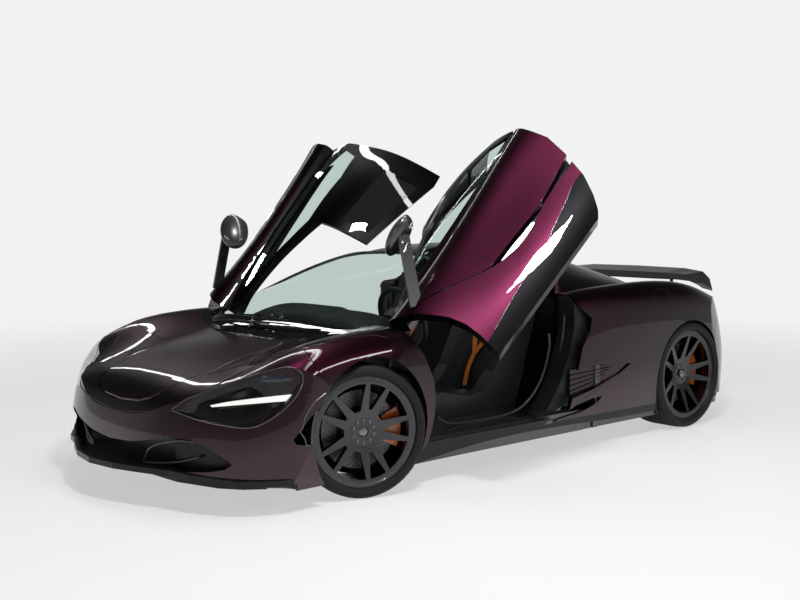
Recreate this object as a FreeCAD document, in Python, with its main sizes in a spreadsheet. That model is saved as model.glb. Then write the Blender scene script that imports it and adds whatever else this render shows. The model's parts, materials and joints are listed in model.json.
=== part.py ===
# Mid-engined two-seat coupe with doors that swing up and forward, shown with both doors open.
# Millimetres. X is across the car (+X the car's left), the nose points along -Y, Z is up.
# The origin is on the ground under the middle of the car.
import FreeCAD, Part
import math
import os
import Sketcher

Vector = FreeCAD.Vector

# Sizes of the car
SIZES = [
    ("overall_length", 4543),
    ("body_width", 1930),
    ("overall_height", 1196),
    ("wheelbase", 2670),
    ("front_overhang", 1031.5),
    ("ground_clearance", 112),
    ("panel_thickness", 18),
    ("shut_gap", 7),
    ("groove_width", 4),
    ("groove_depth", 6),
    ("glass_thickness", 6),
    ("track_front", 1674),
    ("track_rear", 1629),
    ("tyre_radius_front", 327.5),
    ("tyre_width_front", 245),
    ("tyre_radius_rear", 345),
    ("tyre_width_rear", 286),
    ("bead_radius_front", 258),
    ("bead_radius_rear", 270),
    ("flange_height", 15),
    ("rim_wall", 12),
    ("flange_width", 9),
    ("bead_share", 0.38),
    ("hub_offset_front", 86),
    ("hub_offset_rear", 68),
    ("hub_radius", 70),
    ("hub_depth", 45),
    ("hub_bore_radius", 26),
    ("spindle_radius", 25),
    ("spoke_depth", 34),
    ("spoke_count", 5),
    ("window_half_angle", 20),
    ("window_root_angle", 9),
    ("window_root_radius", 104),
    ("slot_half_angle", 10.5),
    ("slot_root_angle", 4),
    ("slot_root_radius", 112),
    ("window_edge", 9),
    ("disc_radius_front", 195),
    ("disc_radius_rear", 190),
    ("disc_thickness", 34),
    ("disc_inner_radius", 112),
    ("disc_hat_radius", 84),
    ("disc_hat_wall", 8),
    ("kingpin_inset", 45),
    ("kingpin_radius", 12),
    ("kingpin_half_height", 130),
    ("kingpin_gap", 0.8),
    ("carrier_radius", 48),
    ("carrier_length", 52),
    ("running_gap", 8),
    ("caliper_inner_radius", 130),
    ("caliper_outer_radius", 222),
    ("caliper_inner_x", -42),
    ("caliper_outer_x", 34),
    ("caliper_half_angle", 27),
    ("arm_height", 100),
    ("arm_thickness", 24),
    ("arm_eye_radius", 24),
    ("arm_spread", 170),
    ("post_width", 34),
    ("arch_radius_front", 364),
    ("arch_radius_rear", 353),
    ("liner_thickness", 10),
    ("steer_rest_angle", 16.9),
    ("door_thickness", 80),
    ("door_rest_angle", 68.6),
    ("door_hinge_x", 766),
    ("door_hinge_y", -965),
    ("door_hinge_z", 811),
    ("floor_thickness", 40),
    ("sill_height", 235),
    ("beam_top", 385),
    ("sill_inner_x", 590),
    ("cabin_front_y", -985),
    ("cabin_rear_y", 500),
    ("bulkhead_thickness", 45),
    ("beam_x", 400),
    ("beam_width", 70),
    ("beam_height", 110),
    ("splitter_thickness", 28),
    ("wing_half_span", 690),
    ("wing_thickness", 30),
    ("wing_edge", 8),
    ("engine_length", 640),
    ("engine_width", 620),
    ("engine_height", 470),
    ("seat_x", 345),
    ("seat_width", 470),
    ("seat_reach", 1560),
    ("seat_y", -310),
    ("wheel_rim_radius", 180),
    ("wheel_rim_section", 16),
    ("exhaust_radius", 52),
    ("exhaust_wall", 4),
    ("exhaust_length", 170),
    ("lamp_depth", 46),
    ("lamp_wall", 14),
    ("mirror_length", 238),
    ("mirror_width", 172),
    ("mirror_height", 86),
    ("mirror_sweep_angle", 58),
    ("mirror_glass_inset", 22),
    ("mirror_arm_width", 68),
    ("mirror_arm_thickness", 13),
    ("door_pin_radius", 5),
    ("door_pin_start", 14),
    ("door_pin_end", 62),
    ("hinge_boss_radius", 20),
    ("hinge_boss_start", 35),
    ("hinge_bracket_low", 0.515),
    ("post_face_x", 873),
    ("post_inner_x", 752),
    ("post_lap", 40),
    ("grille_thickness", 12),
    ("bolster_width", 85),
]

# Lower body: transverse sections from nose to tail. Each row holds its place as a share of the
# wheelbase behind the front axle, then poles (share of half width, share of height).
BODY_SHARES = [
    (-0.365, [(0, .22), (.25, .22), (.48, .22), (.66, .22), (.80, .215), (.90, .21),
              (.96, .20), (.985, .18), (.985, .15), (.98, .12), (.97, .09)]),
    (-0.345, [(0, .30), (.25, .30), (.48, .30), (.66, .30), (.80, .29), (.90, .28),
              (.97, .26), (.99, .22), (.99, .18), (.985, .13), (.97, .09)]),
    (-0.326, [(0, .385), (.25, .387), (.48, .39), (.66, .385), (.80, .37), (.90, .35),
              (.97, .32), (.995, .27), (.995, .20), (.985, .14), (.97, .09)]),
    (-0.305, [(0, .443), (.25, .445), (.46, .445), (.62, .43), (.76, .405), (.88, .385),
              (.97, .35), (1.0, .29), (1.0, .22), (.99, .15), (.97, .09)]),
    (-0.27, [(0, .487), (.25, .487), (.45, .48), (.62, .475), (.76, .465), (.88, .45),
             (.965, .41), (1.0, .34), (1.0, .25), (.99, .17), (.97, .09)]),
    (-0.22, [(0, .525), (.25, .523), (.45, .513), (.62, .52), (.76, .54), (.875, .545),
             (.96, .50), (1.0, .42), (1.0, .31), (.99, .19), (.97, .09)]),
    (-0.16, [(0, .563), (.25, .56), (.45, .55), (.62, .567), (.77, .61), (.88, .62),
             (.955, .58), (.998, .50), (1.0, .36), (.99, .20), (.97, .09)]),
    (-0.08, [(0, .600), (.25, .592), (.45, .582), (.62, .602), (.77, .65), (.88, .662),
             (.953, .63), (.997, .54), (1.0, .40), (.99, .22), (.97, .09)]),
    (0.0, [(0, .630), (.25, .628), (.45, .62), (.62, .63), (.77, .668), (.88, .682),
           (.953, .645), (.995, .55), (1.0, .40), (.99, .22), (.965, .09)]),
    (0.09, [(0, .65), (.25, .65), (.46, .645), (.63, .65), (.77, .675), (.88, .685),
            (.95, .645), (.985, .55), (.99, .40), (.98, .24), (.96, .09)]),
    (0.2, [(0, .655), (.25, .655), (.48, .655), (.66, .66), (.79, .68), (.87, .685),
           (.925, .65), (.945, .55), (.965, .40), (.975, .26), (.95, .12)]),
    (0.34, [(0, .68), (.25, .68), (.48, .68), (.66, .68), (.78, .70), (.855, .712),
            (.905, .67), (.915, .56), (.955, .38), (.975, .26), (.95, .14)]),
    (0.48, [(0, .72), (.25, .72), (.48, .72), (.66, .72), (.78, .735), (.86, .747),
            (.91, .71), (.915, .58), (.96, .38), (.975, .26), (.95, .14)]),
    (0.62, [(0, .76), (.25, .76), (.48, .755), (.64, .76), (.77, .775), (.865, .785),
            (.93, .74), (.945, .60), (.965, .39), (.975, .26), (.95, .13)]),
    (0.75, [(0, .76), (.25, .76), (.46, .755), (.62, .765), (.76, .785), (.87, .80),
            (.95, .755), (.975, .62), (.985, .42), (.985, .26), (.95, .12)]),
    (0.88, [(0, .755), (.25, .755), (.46, .75), (.60, .765), (.75, .797), (.875, .812),
            (.965, .755), (.995, .62), (1.0, .44), (.99, .27), (.95, .12)]),
    (1.0, [(0, .745), (.25, .745), (.46, .74), (.60, .76), (.75, .79), (.87, .80),
           (.965, .74), (.995, .61), (1.0, .44), (.98, .27), (.95, .13)]),
    (1.1, [(0, .735), (.25, .735), (.45, .73), (.60, .74), (.74, .755), (.86, .755),
           (.95, .69), (.985, .58), (.99, .44), (.97, .28), (.94, .14)]),
    (1.2, [(0, .72), (.25, .72), (.44, .715), (.59, .715), (.72, .70), (.84, .67),
           (.93, .60), (.97, .51), (.975, .41), (.95, .28), (.91, .15)]),
    (1.33, [(0, .70), (.24, .70), (.42, .69), (.56, .68), (.70, .64), (.80, .57),
            (.875, .50), (.93, .43), (.94, .37), (.90, .29), (.86, .17)]),
]

# Canopy: the same kind of rows from the windscreen's foot to the rear deck
CANOPY_SHARES = [
    (-0.05, [(0, .56), (.2, .56), (.4, .555), (.58, .545), (.66, .53), (.70, .50), (.70, .45)]),
    (0.0, [(0, .645), (.22, .643), (.43, .637), (.62, .625), (.74, .60), (.80, .565), (.80, .50)]),
    (0.06, [(0, .715), (.22, .712), (.44, .70), (.65, .683), (.79, .655), (.85, .615), (.85, .54)]),
    (0.15, [(0, .805), (.22, .801), (.44, .789), (.63, .768), (.76, .73), (.84, .67), (.84, .56)]),
    (0.25, [(0, .905), (.21, .903), (.42, .893), (.60, .868), (.74, .797), (.84, .70), (.85, .59)]),
    (0.35, [(0, .971), (.20, .969), (.40, .960), (.56, .932), (.71, .838), (.84, .72), (.85, .61)]),
    (0.45, [(0, 1.003), (.20, 1.001), (.39, .991), (.545, .962), (.69, .86), (.835, .745), (.85, .63)]),
    (0.55, [(0, 1.008), (.195, 1.006), (.37, .994), (.515, .963), (.665, .873), (.83, .767), (.85, .64)]),
    (0.65, [(0, .993), (.175, .988), (.325, .973), (.455, .937), (.62, .863), (.79, .78), (.83, .66)]),
    (0.75, [(0, .957), (.165, .952), (.30, .937), (.42, .907), (.57, .847), (.73, .785), (.77, .68)]),
    (0.88, [(0, .89), (.15, .885), (.27, .872), (.38, .85), (.51, .815), (.64, .77), (.70, .67)]),
    (1.0, [(0, .82), (.14, .817), (.25, .81), (.35, .79), (.46, .765), (.56, .735), (.62, .66)]),
    (1.12, [(0, .745), (.14, .742), (.25, .735), (.33, .72), (.42, .70), (.50, .67), (.54, .62)]),
]

# Nose and tail in plan: one row per level (share of height), poles across (share of half width)
# against a share of the overhang measured outward from the axle.
PLAN_COLUMN_SHARES = (0, .2, .4, .6, .76, .88, .97, 1.04, 1.08)
NOSE_SHARES = [
    (.03, (.895, .893, .875, .815, .745, .66, .51, .24, -.2)),
    (.14, (.895, .893, .875, .815, .745, .66, .51, .24, -.2)),
    (.22, (.895, .893, .878, .822, .75, .665, .51, .24, -.2)),
    (.29, (.885, .884, .870, .82, .745, .66, .505, .24, -.2)),
    (.35, (.865, .865, .855, .805, .735, .645, .49, .23, -.2)),
    (.42, (.835, .838, .835, .785, .71, .61, .46, .21, -.2)),
    (.50, (.82, .82, .81, .755, .67, .57, .42, .18, -.2)),
    (.60, (.82, .82, .80, .72, .63, .52, .38, .15, -.2)),
    (1.1, (.82, .82, .80, .72, .63, .52, .38, .15, -.2)),
]
TAIL_SHARES = [
    (.05, (.97, .965, .95, .895, .77, .61, .39, .12, -.2)),
    (.22, (1.0, .995, .98, .92, .80, .64, .42, .13, -.2)),
    (.35, (1.0, .995, .98, .925, .815, .66, .43, .14, -.2)),
    (.48, (.985, .98, .965, .905, .79, .62, .39, .12, -.2)),
    (.58, (.955, .95, .935, .875, .75, .57, .35, .08, -.25)),
    (.68, (.92, .915, .895, .835, .70, .50, .28, 0, -.3)),
    (.78, (.885, .88, .85, .77, .60, .38, .16, -.1, -.4)),
    (.90, (.85, .84, .80, .70, .50, .26, 0, -.2, -.5)),
    (1.1, (.85, .84, .80, .70, .50, .26, 0, -.2, -.5)),
]

# Cut lines of the panels. Side lines are (share of wheelbase behind the front axle, share of
# height); plan lines are (share of half width, share of wheelbase behind the front axle).
DOOR_SIDE_SHARES = [
    (.146, .188), (.158, .295), (.162, .374), (.157, .455), (.134, .566), (.105, .65), (.0955, .6725),
    (.097, .688), (.107, .6985), (.15, .730), (.30, .857), (.36, .903), (.36, 1.2), (.62, 1.2), (.62, .95),
    (.62, .82), (.593, .765), (.594, .71), (.597, .60), (.581, .486), (.555, .356), (.526, .266),
    (.503, .211), (.487, .188),
]
DOOR_OPENING_SHARES = [
    (.146, .188), (.158, .295), (.162, .374), (.157, .455), (.134, .566), (.105, .65), (.088, .69),
    (.14, .736), (.30, .872), (.36, .919), (.36, 1.2), (.62, 1.2), (.62, .95), (.62, .82),
    (.593, .765), (.594, .71), (.597, .60), (.581, .486), (.555, .356), (.526, .266),
    (.503, .211), (.487, .188),
]
DOOR_ROOF_SHARES = [(.238, -.2), (.238, .358), (.055, .585), (.055, 1.2), (1.3, 1.2), (1.3, -.2)]
DOOR_WINDOW_SHARES = [
    (.160, .716), (.165, .722), (.30, .832), (.36, .874), (.50, .900), (.575, .885), (.600, .815),
    (.50, .775), (.35, .745), (.20, .722),
]
# Air channel between the door's upper and lower skins, with the crease that leads into it
CHANNEL_SHARES = [
    (.120, .602), (.158, .600), (.194, .564), (.263, .473), (.291, .4465), (.365, .446),
    (.397, .442), (.465, .439), (.60, .482), (.60, .440), (.526, .4325), (.465, .4275),
    (.402, .402), (.349, .402), (.304, .427), (.263, .467), (.194, .558), (.158, .594), (.120, .596),
]
ROOF_GLASS_SHARES = [(.27, .385), (.46, .385), (.40, .56), (.14, .56)]
BONNET_SHARES = [
    (0, -.3215), (.18, -.319), (.28, -.312), (.325, -.30), (.35, -.285), (.385, -.24), (.41, -.2165),
    (.445, -.16), (.46, -.0974), (.475, -.017), (.41, -.026), (.20, -.050), (0, -.058),
]
WINDSCREEN_SHARES = [
    (0, -.026), (.35, -.014), (.609, .010), (.755, .045), (.77, .07), (.698, .14), (.495, .325),
    (.30, .352), (0, .36),
]
REAR_WINDOW_SHARES = [(0, .70), (.22, .70), (.26, .78), (.22, .90), (0, .90)]
LAMP_SHARES = [
    (-.331, .405), (-.3149, .395), (-.3081, .384), (-.2971, .371), (-.2795, .356), (-.2617, .350),
    (-.2451, .350), (-.2287, .360), (-.2101, .387), (-.1903, .422), (-.1721, .464), (-.1595, .501),
    (-.1523, .535), (-.1577, .62), (-.331, .62),
]
LAMP_PLAN_SHARES = [
    (.45, -.325), (.505, -.3149), (.560, -.302), (.60, -.2755), (.675, -.2421), (.803, -.2209),
    (.89, -.1937), (.929, -.172), (.955, -.1577), (1.3, -.140), (1.3, -.42), (.45, -.42),
]
NOSE_EDGE_SHARES = [(-.113, .0), (-.113, .30), (-.097, .49), (-.13, .56), (-.13, 1.3)]
FRONT_INTAKE_SHARES = [
    (0, .2316), (.207, .2425), (.4145, .2717), (.518, .2893), (.622, .2918), (.725, .2684),
    (.815, .2200), (.828, .205), (.80, .185), (.72, .170), (.60, .160), (.60, .125), (0, .125),
]
GRILLE_SHARES = [(0, .795), (.45, .77), (.70, .69), (.80, .62), (.86, .54)]
LAMP_STRIP_SHARES = [
    (-.2833, .423), (-.2644, .439), (-.234, .453), (-.1762, .465), (-.180, .448), (-.2243, .437),
    (-.2657, .424), (-.2824, .416),
]
SIDE_VENT_SHARES = [
    (-.1254, .404), (-.1458, .37), (-.1654, .322), (-.1777, .293), (-.1722, .272), (-.1252, .255),
]
SIDE_INTAKE_SHARES = [
    (.5625, .393), (.6508, .411), (.7676, .399), (.7278, .356), (.6503, .301), (.5625, .259),
]
LOWER_INTAKE_SHARES = [
    (.5223, .178), (.5806, .226), (.6373, .250), (.6691, .251), (.6539, .221), (.6071, .190),
    (.5145, .170),
]
POST_SHARES = [
    (.36, .165), (.515, .165), (.562, .213), (.577, .329), (.592, .416), (.607, .503), (.633, .576),
    (.642, .641), (.605, .708), (.590, .753), (.590, .80), (.36, .80),
]
SKIRT_SHARES = [
    (-.02, 0), (-.02, .155), (.13, .155), (.146, .20), (.49, .20), (.515, .165), (1.0, .16), (1.0, 0),
]
CANOPY_PLAN_SHARES = [
    (0, -.085), (.44, -.045), (.475, -.017), (.685, .006), (.80, .035), (.875, .088), (.875, .36),
    (.62, .60), (.62, .66), (0, .66),
]
REAR_EDGE_SHARES = [(1.118, .0), (1.118, .28), (1.10, .43), (1.13, .56), (1.13, .75), (1.1, 1.3)]
ENGINE_COVER_SHARES = [(.30, .66), (.34, .90), (.62, 1.06), (.66, 1.11)]
SPLITTER_SHARES = [
    (0, 1.0, .163), (.20, .972, .163), (.373, .911, .162), (.518, .848, .160), (.6425, .814, .156),
    (.777, .7465, .150), (.86, .698, .146), (.93, .61, .143), (.975, .50, .141),
]
SPLITTER_REAR_SHARE = .44
WING_SHARES = [
    (0, .775, .780, .9465, .828), (.60, .777, .780, .942, .825), (.85, .790, .780, .929, .811),
    (.95, .808, .773, .920, .773), (1.0, .828, .755, .9135, .708),
]
DIFFUSER_SHARES = [(0, .30), (.60, .30), (.84, .50), (.80, .86), (.60, .93), (0, .96)]
HINGE_AXIS_SHARES = (.584, -.706, -.400)
MIRROR_HEAD_SHARES = (1.010, .2412, .8428)
MIRROR_NECK_SHARES = (1.0518, .2393, .8135)
MIRROR_FOOT_SHARES = (.936, .1450, .6040)
MIRROR_ARM_ACROSS_SHARES = (-.56, .72, -.40)
MIRROR_ARM_THROUGH_SHARES = (.747, .25, -.597)
SEAT_SIDE_SHARES = [
    (-.16, .14), (-.16, .25), (-.10, .275), (.12, .225), (.19, .28), (.33, .62), (.375, .80),
    (.39, .84), (.435, .84), (.42, .66), (.31, .22), (.27, .14),
]
BOLSTER_SHARES = [
    (-.15, .14), (-.15, .29), (-.08, .335), (.06, .30), (.13, .31), (.19, .40), (.27, .60),
    (.32, .64), (.37, .60), (.36, .40), (.30, .20), (.26, .14),
]
DASH_SHARES = [(-.97, .30), (-.97, .56), (-.88, .655), (-.72, .66), (-.64, .62), (-.66, .50),
               (-.80, .42), (-.84, .30)]

doc = FreeCAD.newDocument("coupe")
sheet = doc.addObject("Spreadsheet::Sheet", "Sizes")
for row_number, (alias, value) in enumerate(SIZES, 1):
    sheet.set("A%d" % row_number, alias)
    sheet.set("B%d" % row_number, str(value))
    sheet.setAlias("B%d" % row_number, alias)
doc.recompute()


def size(alias):
    return float(sheet.get(alias))


length = size("overall_length")
half_width = size("body_width") / 2
height = size("overall_height")
wheelbase = size("wheelbase")
axle_front_y = size("front_overhang") - length / 2
axle_rear_y = axle_front_y + wheelbase
rear_overhang = length / 2 - axle_rear_y
panel = size("panel_thickness")
gap = size("shut_gap")
clearance = size("ground_clearance")
far = length


def along(share):
    return axle_front_y + share * wheelbase


def point_at(shares):
    return Vector(shares[0] * half_width, along(shares[1]), shares[2] * height)


# Outlines, prisms and mirror images
def face_from(points):
    closed = list(points) + [points[0]]
    return Part.Face(Part.makePolygon(closed))


def grown(face, distance):
    if not distance:
        return face
    wire = face.OuterWire.makeOffset2D(distance, 2)
    return Part.Face(wire)


def side_prism(shares, low, high, grow=0):
    points = [Vector(0, along(a), b * height) for a, b in shares]
    face = grown(face_from(points), grow)
    face.translate(Vector(low, 0, 0))
    return face.extrude(Vector(high - low, 0, 0))


def plan_prism(shares, low, high, grow=0):
    points = [Vector(a * half_width, along(b), 0) for a, b in shares]
    face = grown(face_from(points), grow)
    face.translate(Vector(0, 0, low))
    return face.extrude(Vector(0, 0, high - low))


def front_prism(shares, low, high, grow=0):
    points = [Vector(a * half_width, 0, b * height) for a, b in shares]
    face = grown(face_from(points), grow)
    face.translate(Vector(0, low, 0))
    return face.extrude(Vector(0, high - low, 0))


def box(x0, x1, y0, y1, z0, z1):
    return Part.makeBox(x1 - x0, y1 - y0, z1 - z0, Vector(x0, y0, z0))


def mirrored(shape):
    return shape.mirror(Vector(0, 0, 0), Vector(1, 0, 0))


def both_sides(shape):
    return shape.fuse(mirrored(shape))


def doubled(shares):
    return list(shares) + [(-a, b) for a, b in reversed(shares) if a]


# Free-form surfaces from their poles
def knots_for(count):
    return [float(i) for i in range(count - 2)], [4] + [1] * (count - 4) + [4]


def net_surface(rows):
    u_knots, u_mults = knots_for(len(rows))
    v_knots, v_mults = knots_for(len(rows[0]))
    surface = Part.BSplineSurface()
    surface.buildFromPolesMultsKnots(rows, u_mults, v_mults, u_knots, v_knots, False, False, 3, 3)
    return surface


def cap(edge):
    start = edge.Vertexes[0].Point
    end = edge.Vertexes[-1].Point
    return Part.Face(Part.Wire([edge, Part.makeLine(end, start)]))


def closed_net(rows):
    surface = net_surface(rows)
    u0, u1, v0, v1 = surface.bounds()
    first_side = surface.vIso(v0).toShape()
    last_side = surface.vIso(v1).toShape()
    base = Part.makeRuledSurface(first_side, last_side)
    caps = [cap(surface.uIso(u0).toShape()), cap(surface.uIso(u1).toShape())]
    shell = Part.Shell([surface.toShape(), base] + caps)
    shell.sewShape()
    solid = Part.Solid(shell)
    if solid.Volume < 0:
        solid.reverse()
    return solid


def moved_inward(points, depth):
    result = []
    for i, (a, b) in enumerate(points):
        before = points[max(i - 1, 0)]
        after = points[min(i + 1, len(points) - 1)]
        run = after[0] - before[0]
        rise = after[1] - before[1]
        reach = math.hypot(run, rise)
        result.append((a + rise / reach * depth, b - run / reach * depth))
    return result


def section_net(table, depth):
    rows = []
    for share, poles in table:
        right = [(a * half_width, b * height) for a, b in poles]
        points = [(-a, b) for a, b in reversed(right[1:])] + right
        if depth:
            points = moved_inward(points, depth)
            points[0] = (points[0][0], points[0][1] - clearance)
            points[-1] = (points[-1][0], points[-1][1] - clearance)
        rows.append([Vector(a, along(share), b) for a, b in points])
    return closed_net(rows)


def end_net(table, axle_y, reach, sign, depth):
    rows = []
    for level, shares in table:
        right = [(a * half_width, b * reach) for a, b in zip(PLAN_COLUMN_SHARES, shares)]
        points = [(-a, b) for a, b in reversed(right[1:])] + right
        if depth:
            points = moved_inward(points, depth)
        points[0] = (points[0][0], -far)
        points[-1] = (points[-1][0], -far)
        rows.append([Vector(a, axle_y + sign * b, level * height) for a, b in points])
    return closed_net(rows)


def body_solid(depth):
    solid = section_net(BODY_SHARES, depth).fuse(section_net(CANOPY_SHARES, depth))
    solid = solid.common(end_net(NOSE_SHARES, axle_front_y, size("front_overhang"), -1, depth))
    return solid.common(end_net(TAIL_SHARES, axle_rear_y, rear_overhang, 1, depth))


outer = body_solid(0)
inner = body_solid(panel)
groove_floor = body_solid(size("groove_depth"))
door_floor = body_solid(size("door_thickness"))
door_void_floor = body_solid(size("door_thickness") + gap)
skin = outer.cut(inner)
skin_outer_layer = outer.cut(groove_floor)

# Wheel arches
arches = []
for axle_y, wheel_z, radius in (
    (axle_front_y, size("tyre_radius_front"), size("arch_radius_front")),
    (axle_rear_y, size("tyre_radius_rear"), size("arch_radius_rear")),
):
    arch = Part.makeCylinder(radius, far, Vector(-far / 2, axle_y, wheel_z), Vector(1, 0, 0))
    arches.append(arch)
front_arch, rear_arch = arches
well_inner_x = size("track_front") / 2 - size("tyre_width_front") * 1.25

# Regions shared by neighbouring panels
door_side = side_prism(DOOR_SIDE_SHARES, 0, far)
door_roof = plan_prism(DOOR_ROOF_SHARES, 0, far)
door_region = door_side.common(door_roof)
door_side_grown = side_prism(DOOR_OPENING_SHARES, 0, far, gap)
door_roof_grown = plan_prism(DOOR_ROOF_SHARES, 0, far, gap)
door_region_grown = door_side_grown.common(door_roof_grown)
both_doors_grown = both_sides(door_region_grown)
bonnet_region = plan_prism(doubled(BONNET_SHARES), 0, far)
bonnet_region_grown = plan_prism(doubled(BONNET_SHARES), 0, far, gap)
lamp_region = side_prism(LAMP_SHARES, 0, far).common(plan_prism(LAMP_PLAN_SHARES, 0, far))
lamp_side_grown = side_prism(LAMP_SHARES, 0, far, size("lamp_wall"))
lamp_plan_grown = plan_prism(LAMP_PLAN_SHARES, 0, far, size("lamp_wall"))
lamp_region_grown = lamp_side_grown.common(lamp_plan_grown)
windscreen_region = plan_prism(doubled(WINDSCREEN_SHARES), height * .5, far)
rear_window_region = plan_prism(doubled(REAR_WINDOW_SHARES), height * .5, far)


# Door hinge: a stub pin on the fixed body in a bore at the door's front corner
def hinge_rod(radius, start, end):
    return Part.makeCylinder(radius, end - start, hinge_point + hinge_axis * start, hinge_axis)


hinge_point = Vector(size("door_hinge_x"), size("door_hinge_y"), size("door_hinge_z"))
hinge_axis = Vector(*HINGE_AXIS_SHARES).normalize()
hinge_pin = hinge_rod(size("door_pin_radius"), size("door_pin_start"), size("door_pin_end"))

wheel_cut = front_arch.fuse(rear_arch)
fixed_skin = skin.cut(both_doors_grown).cut(bonnet_region_grown).cut([wheel_cut, both_sides(hinge_pin)])
windows = windscreen_region.fuse(rear_window_region)
glass_layer = outer.cut(body_solid(size("glass_thickness")))


def side_band(shares, low, high):
    points = [Vector(0, along(a), b * height) for a, b in shares]
    half = size("groove_width") / 2
    pieces = []
    for p, q in zip(points[:-1], points[1:]):
        step = (q - p).normalize()
        normal = Vector(0, -step.z, step.y) * half
        face = face_from([p + normal, q + normal, q - normal, p - normal])
        face.translate(Vector(low, 0, 0))
        pieces.append(face.extrude(Vector(high - low, 0, 0)))
    return pieces[0].fuse(pieces[1:]) if len(pieces) > 1 else pieces[0]


nose_cut = side_prism(NOSE_EDGE_SHARES + [(-.6, 1.3), (-.6, 0)], -far / 2, far / 2)
rear_cut = side_prism(REAR_EDGE_SHARES + [(1.6, 1.3), (1.6, 0)], -far / 2, far / 2)
nose_band = side_band(NOSE_EDGE_SHARES, -far / 2, far / 2)
rear_band = side_band(REAR_EDGE_SHARES, -far / 2, far / 2)
groove_bands = nose_band.fuse(rear_band)
grooves = skin_outer_layer.common(groove_bands)
fixed_skin = fixed_skin.cut(grooves)

# Canopy of the fixed body: cowl, pillars, header and roof spine
canopy_region = plan_prism(doubled(CANOPY_PLAN_SHARES), height * .56, far)
canopy_frame = fixed_skin.common(canopy_region).cut(windows)

# Engine cover between the buttresses
cover_region = plan_prism(doubled(ENGINE_COVER_SHARES), height * .6, far)
rest_skin = fixed_skin.cut(canopy_region)
engine_cover = rest_skin.common(cover_region).cut(rear_window_region)
rest_skin = rest_skin.cut(cover_region)

# Nose, wings, quarters and tail
lamp_openings = both_sides(lamp_region)
intake_opening = front_prism(doubled(FRONT_INTAKE_SHARES), -far, along(-.22))
side_vents = both_sides(side_prism(SIDE_VENT_SHARES, half_width * .8, far))
nose = rest_skin.common(nose_cut).cut([lamp_openings, intake_opening, side_vents])
skirt_region = side_prism(SKIRT_SHARES, -far, far)
middle = rest_skin.cut([nose_cut, lamp_openings])
rear_bumper = middle.common(rear_cut)
middle = middle.cut(rear_cut)
skirts = middle.common(skirt_region)
middle = middle.cut(skirt_region)
wing_end_y = along(.36)
left_half = box(0, far, -far, far, 0, far)
front_half = box(-far, far, -far, wing_end_y, 0, far)
rear_half = box(-far, far, wing_end_y, far, 0, far)
front_wing_left = middle.common(left_half).common(front_half)
post_region = side_prism(POST_SHARES, 0, far)
side_intakes = side_prism(SIDE_INTAKE_SHARES, half_width * .8, far)
side_intakes = side_intakes.fuse(side_prism(LOWER_INTAKE_SHARES, half_width * .8, far))
quarter_left = middle.common(left_half).common(rear_half).cut([post_region, side_intakes])
front_wing_right = mirrored(front_wing_left)
quarter_right = mirrored(quarter_left)

# Bonnet
bonnet = skin.common(bonnet_region)

# Doors in their closed place
window_region = side_prism(DOOR_WINDOW_SHARES, half_width * .2, far)
roof_glass_region = plan_prism(ROOF_GLASS_SHARES, height * .5, far)
door_lower_zone = box(half_width * .72, far, -far, far, 0, height * .69)
door_lower = outer.cut(door_floor).common(door_region).common(door_lower_zone)
door_upper = skin.common(door_region).common(box(0, far, -far, far, height * .69, far))
channel = side_prism(CHANNEL_SHARES, half_width * .90, far)
door_left = door_lower.fuse(door_upper).cut([window_region, roof_glass_region, wheel_cut, channel])
side_glass = glass_layer.common(window_region).common(door_region)
roof_glass = glass_layer.common(roof_glass_region).common(door_region)
door_glass_left = Part.makeCompound([side_glass, roof_glass])

door_left = door_left.cut(hinge_rod(size("door_pin_radius") + size("kingpin_gap"), 0, size("door_pin_end")))

# Mirror on the door: a swept egg-shaped head, flat at the back, carried by a flat arm
mirror_at = point_at(MIRROR_HEAD_SHARES)
stretch = FreeCAD.Matrix()
stretch.scale(Vector(size("mirror_length") / 2, size("mirror_width") / 2, size("mirror_height") / 2))
stretch.rotateZ(math.radians(size("mirror_sweep_angle")))
stretch.move(mirror_at)
mirror_head = Part.makeSphere(1).transformGeometry(stretch)
sweep = math.radians(size("mirror_sweep_angle"))
head_reach = math.hypot(size("mirror_length") * math.sin(sweep), size("mirror_width") * math.cos(sweep)) / 2
glass_y = mirror_at.y + head_reach - size("mirror_glass_inset")
mirror_head = mirror_head.cut(box(0, far, glass_y, far, 0, far))
across = Vector(*MIRROR_ARM_ACROSS_SHARES) * (size("mirror_arm_width") / 2)
through = Vector(*MIRROR_ARM_THROUGH_SHARES) * (size("mirror_arm_thickness") / 2)
arm_wires = []
for shares in (MIRROR_FOOT_SHARES, MIRROR_NECK_SHARES):
    middle_point = point_at(shares)
    corners = [middle_point - across - through, middle_point + across - through,
               middle_point + across + through, middle_point - across + through]
    arm_wires.append(Part.makePolygon(corners + [corners[0]]))
arm = Part.makeLoft(arm_wires, True, True)
mirror_left = mirror_head.fuse(arm).cut([door_left, side_glass, inner])
mirror_left = max(mirror_left.Solids, key=lambda s: s.Volume)

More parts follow.
